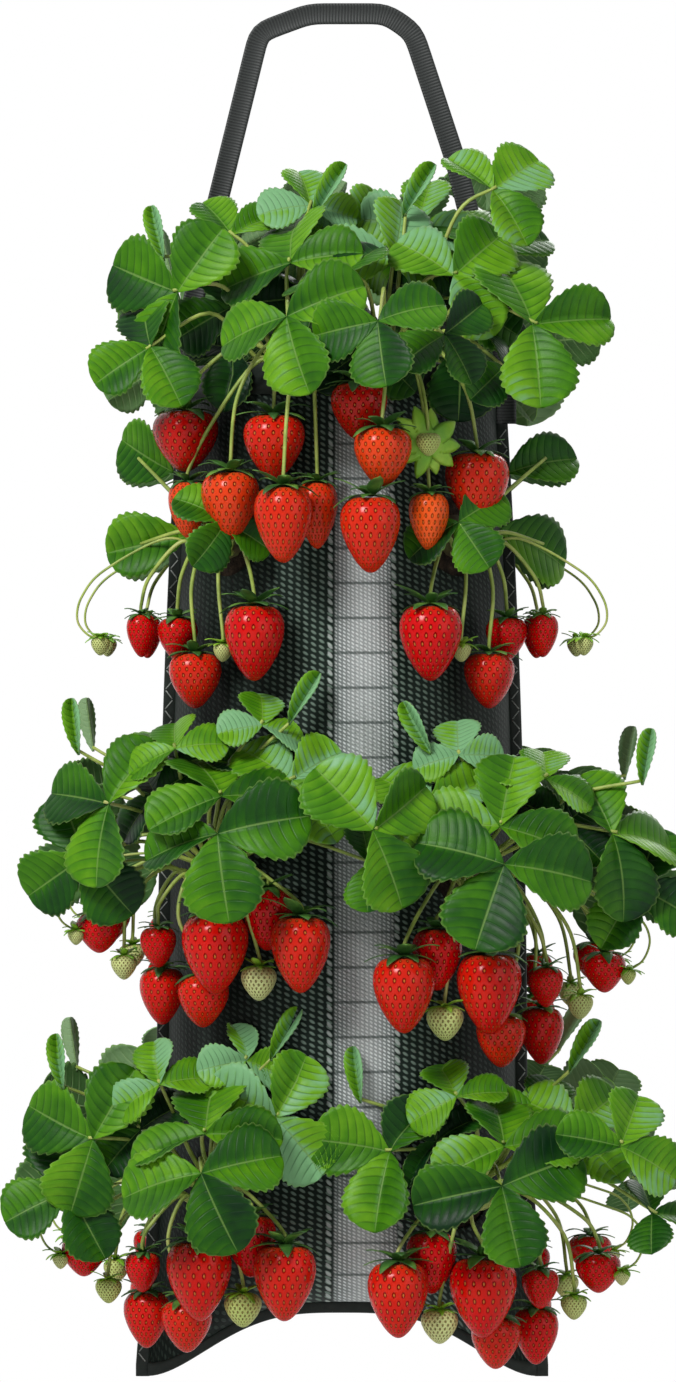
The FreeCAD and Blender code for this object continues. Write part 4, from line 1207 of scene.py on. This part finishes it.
# sepals that leave the stalk, by turns steep and level, and curl over the fruit's shoulder
def sepalPatches(top, width, finish):
    patches = []
    start = random.uniform(0, 2 * np.pi)
    share = np.linspace(0, 1, sepal["steps"])
    for k in range(sepal["count"]):
        turn = start + 2 * np.pi * k / sepal["count"] + random.uniform(-sepal["stray"], sepal["stray"])
        reach = np.array([math.cos(turn), math.sin(turn), 0.0])
        length = width * random.uniform(*sepal["length"])
        curl = random.uniform(*sepal["curl"]) * share ** sepal["curlPower"]
        rise = length * (sepal["rise"][k % 2] * share - curl) - sepal["sink"]
        path = top + share[:, None] * length * reach + rise[:, None] * up
        # the top trusses hang close to the fabric, and their sepals are kept in front of it
        if -top[2] < bag["rowDrops"]["upper"]:
            path = clearOfBag(path)
        patches.append(bladePatch(path, share, length * sepal["width"], sepal["foot"],
                                  np.cross(up, reach), up * sepal["thin"], finish))
    return patches


# an open calyx that faces outward: pointed sepals round the young fruit, their tips bent back
def starPatches(centre, out, finish):
    across = np.array([-out[1], out[0], 0.0])
    patches = []
    share = np.linspace(star["inside"], 1, star["steps"])
    lift = star["rise"] * share - star["bendBack"] * share**2
    for k in range(star["count"]):
        turn = 2 * np.pi * (k + random.uniform(-star["stray"], star["stray"])) / star["count"]
        reach = across * math.cos(turn) + up * math.sin(turn)
        length = star["length"] * random.uniform(*star["grow"])
        path = centre + share[:, None] * length * reach + lift[:, None] * out
        patches.append(bladePatch(path, share, length * star["width"], star["foot"],
                                  np.cross(out, reach), out * star["thin"], finish))
    return patches


# the middle of the stem that a truss turns on, its outward way, and the point its fruit is placed from
def fruitAxis(name):
    point, out = seats[name]
    clear = truss["gap"] + truss["knuckle"]
    if not name.startswith("top"):
        return point + out * (crown["proud"] + clear) - up * truss["knuckleDrop"], out, point
    x = point[0]
    y = -math.sqrt(bag["rimRadius"] ** 2 - x**2)
    middle = np.array([x, y, -bag["rimDrop"] + truss["hemTop"] + clear])
    return middle, unit(middle * [1, 1, 0]), middle


# stalks with their calyxes and unripe fruit, and the red fruit, of one truss on the front
def growTruss(name):
    _, _, _, fruit, unripe, mirrored, shift, _ = plants[name]
    middle, out, start = fruitAxis(name)
    line = np.array([out[1], -out[0], 0.0])
    half = truss["knuckleLength"] / 2
    form = truss["knuckle"] * np.array(truss["knuckleForm"])
    stem = middle + np.linspace(-half, half, len(form))[:, None] * line
    stalks = [tubePatch(stem, form, truss["knuckleSides"])]
    berries = []
    hung = [(place, width * mm, length * mm, bend) for place, width, length, bend, _ in fruit]
    hung += [(place, 2 * radius * mm, 2 * radius * mm, bend) for place, radius, bend in unripe]
    order = sorted(range(len(hung)), key=lambda k: -fromCrown(hung[k][0], mirrored) @ line)
    for k, (place, width, length, bend) in enumerate(hung):
        ripe = k < len(fruit)
        centre = start + fromCrown(place, mirrored) + fromCrown(shift)
        top = centre + up * length * truss["fruitTop"]
        slot = half * truss["slotShare"] * (1 - 2 * order.index(k) / (len(hung) - 1))
        foot = middle + line * slot + out * truss["knuckle"] * truss["footOut"]
        bendPoint = start + fromCrown(bend, mirrored) + fromCrown(shift) / 2
        rise = foot + (bendPoint - foot) * 0.5 + up * truss["arc"]
        fall = bendPoint + (top - bendPoint) * truss["fallShare"]
        loop = [start + fromCrown(spot, mirrored) + fromCrown(shift) for spot in loops.get(place, [])]
        hook = loop or [fall, top + up * truss["neck"]]
        path = smoothPath([foot, rise] + hook + [top - up * truss["sink"]], truss["steps"])
        thick = truss["loop"] if loop else truss["stalk"]
        stalks.append(tubePatch(path, np.linspace(*truss["taper"], len(path)) * thick, truss["sides"]))
        if place == topUnripe[0][0]:
            stalks += starPatches(centre, out, starFinish)
            size = star["fruit"] * 2
            stalks.append(berryPatch(centre + out * star["fruitOut"], size, size, 0.0, unripeFinish))
            continue
        stalks += sepalPatches(top, max(width, sepal["leastFruit"]), calyxFinish if ripe else starFinish)
        if ripe:
            berries.append(berryPatch(centre, width, length, fruit[k][4]))
        else:
            tone = random.uniform(0, berry["unripeTone"])
            stalks.append(berryPatch(centre, width, length, tone, unripeFinish))
    return stalks, berries


def makeTrusses():
    for name in plants:
        stalks, berries = growTruss(name)
        for face, place in bagFaces:
            label = "%s_%s" % (face, name)
            for kind, patches, materials, slot in (
                ("stalks", stalks, [stalkGreen, calyxGreen, greenSkin, starGreen], "stalk"),
                ("berries", berries, [ripeSkin], "berry"),
            ):
                turned = [place(p) for p in patches]
                piece = buildPiece(face + pascal(name) + pascal(kind), turned, materials)
                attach(piece, label + "_truss")
                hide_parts(label + "_" + kind)


makeTrusses()
print("stage: fruit")


# Studio: lamps are place, power in watts and size

studio = {
    "frameHeight": 0.853, "centre": (-0.0025, 0.0, -0.4115), "distance": 4.0, "sensor": 36.0,
    "floorDrop": -1.02, "floorSize": 3.4,
    "sky": (0.95, 0.97, 1.0), "skyStrength": 0.20, "white": (1, 1, 1),
    "lamps": {
        "keyLight": ((-1.4, -2.2, 1.5), 100.0, 0.9), "fillLight": ((1.9, -2.0, 0.1), 12.0, 1.8),
        "backLight": ((0.6, 2.4, 1.2), 40.0, 1.6), "lowLight": ((-0.2, -2.2, -1.6), 5.0, 1.6),
    },
}
floorLook = {"roughness": 0.9, "specular": 0.1, "mottle": 3.0,
             "stops": [(0.0, (0.86, 0.86, 0.86)), (1.0, (0.9, 0.9, 0.9))]}


def makeCamera(scene):
    camera = bpy.data.cameras.new("camera")
    camera.sensor_fit = "VERTICAL"
    camera.sensor_height = studio["sensor"]
    camera.lens = studio["sensor"] * studio["distance"] / studio["frameHeight"]
    view = addObject("camera", camera)
    x, y, z = studio["centre"]
    view.location = (x, y - studio["distance"], z)
    view.rotation_euler = (math.pi / 2, 0, 0)
    scene.camera = view


def makeLamps():
    for name, (place, power, size) in studio["lamps"].items():
        lamp = bpy.data.lights.new(name, "AREA")
        lamp.energy = power
        lamp.size = size
        lampObject = addObject(name, lamp)
        lampObject.location = place
        towards = np.array(studio["centre"]) - np.array(place)
        pitch = math.atan2(math.hypot(towards[0], towards[1]), -towards[2])
        lampObject.rotation_euler = (pitch, 0, math.atan2(-towards[0], towards[1]))


def makeFloor():
    mesh = bpy.data.meshes.new("floor")
    half = studio["floorSize"] / 2
    corners = [(-half, -half), (half, -half), (half, half), (-half, half)]
    mesh.from_pydata([(a, b, studio["floorDrop"]) for a, b in corners], [], [(0, 1, 2, 3)])
    mesh.materials.append(makeMottled("paleFloor", floorLook))
    floor = addObject("floor", mesh)


# soft light from all round, with plain white where the camera, glass or a gloss would see it
def makeWorld(scene):
    world = bpy.data.worlds.new("studio")
    scene.world = world
    world.use_nodes = True
    tree = world.node_tree
    soft = tree.nodes["Background"]
    put(studio["sky"], soft.inputs["Color"])
    put(studio["skyStrength"], soft.inputs["Strength"])
    white = addNode(tree, "Background", 0, {"Color": studio["white"]})
    rays = addNode(tree, "LightPath", 0).socket.node
    kinds = ("Is Camera Ray", "Is Transmission Ray", "Is Glossy Ray")
    camera, glass, gloss = [Value(rays.outputs[kind]) for kind in kinds]
    seen = calc("MAXIMUM", calc("MAXIMUM", camera, glass), gloss)
    mixed = addNode(tree, "MixShader", 0, {0: seen, 1: Value(soft.outputs[0]), 2: white})
    put(mixed, tree.nodes["World Output"].inputs[0])


scene = bpy.context.scene
scene.view_settings.view_transform = "Standard"
makeCamera(scene)
makeLamps()
makeFloor()
makeWorld(scene)
print("stage: studio")
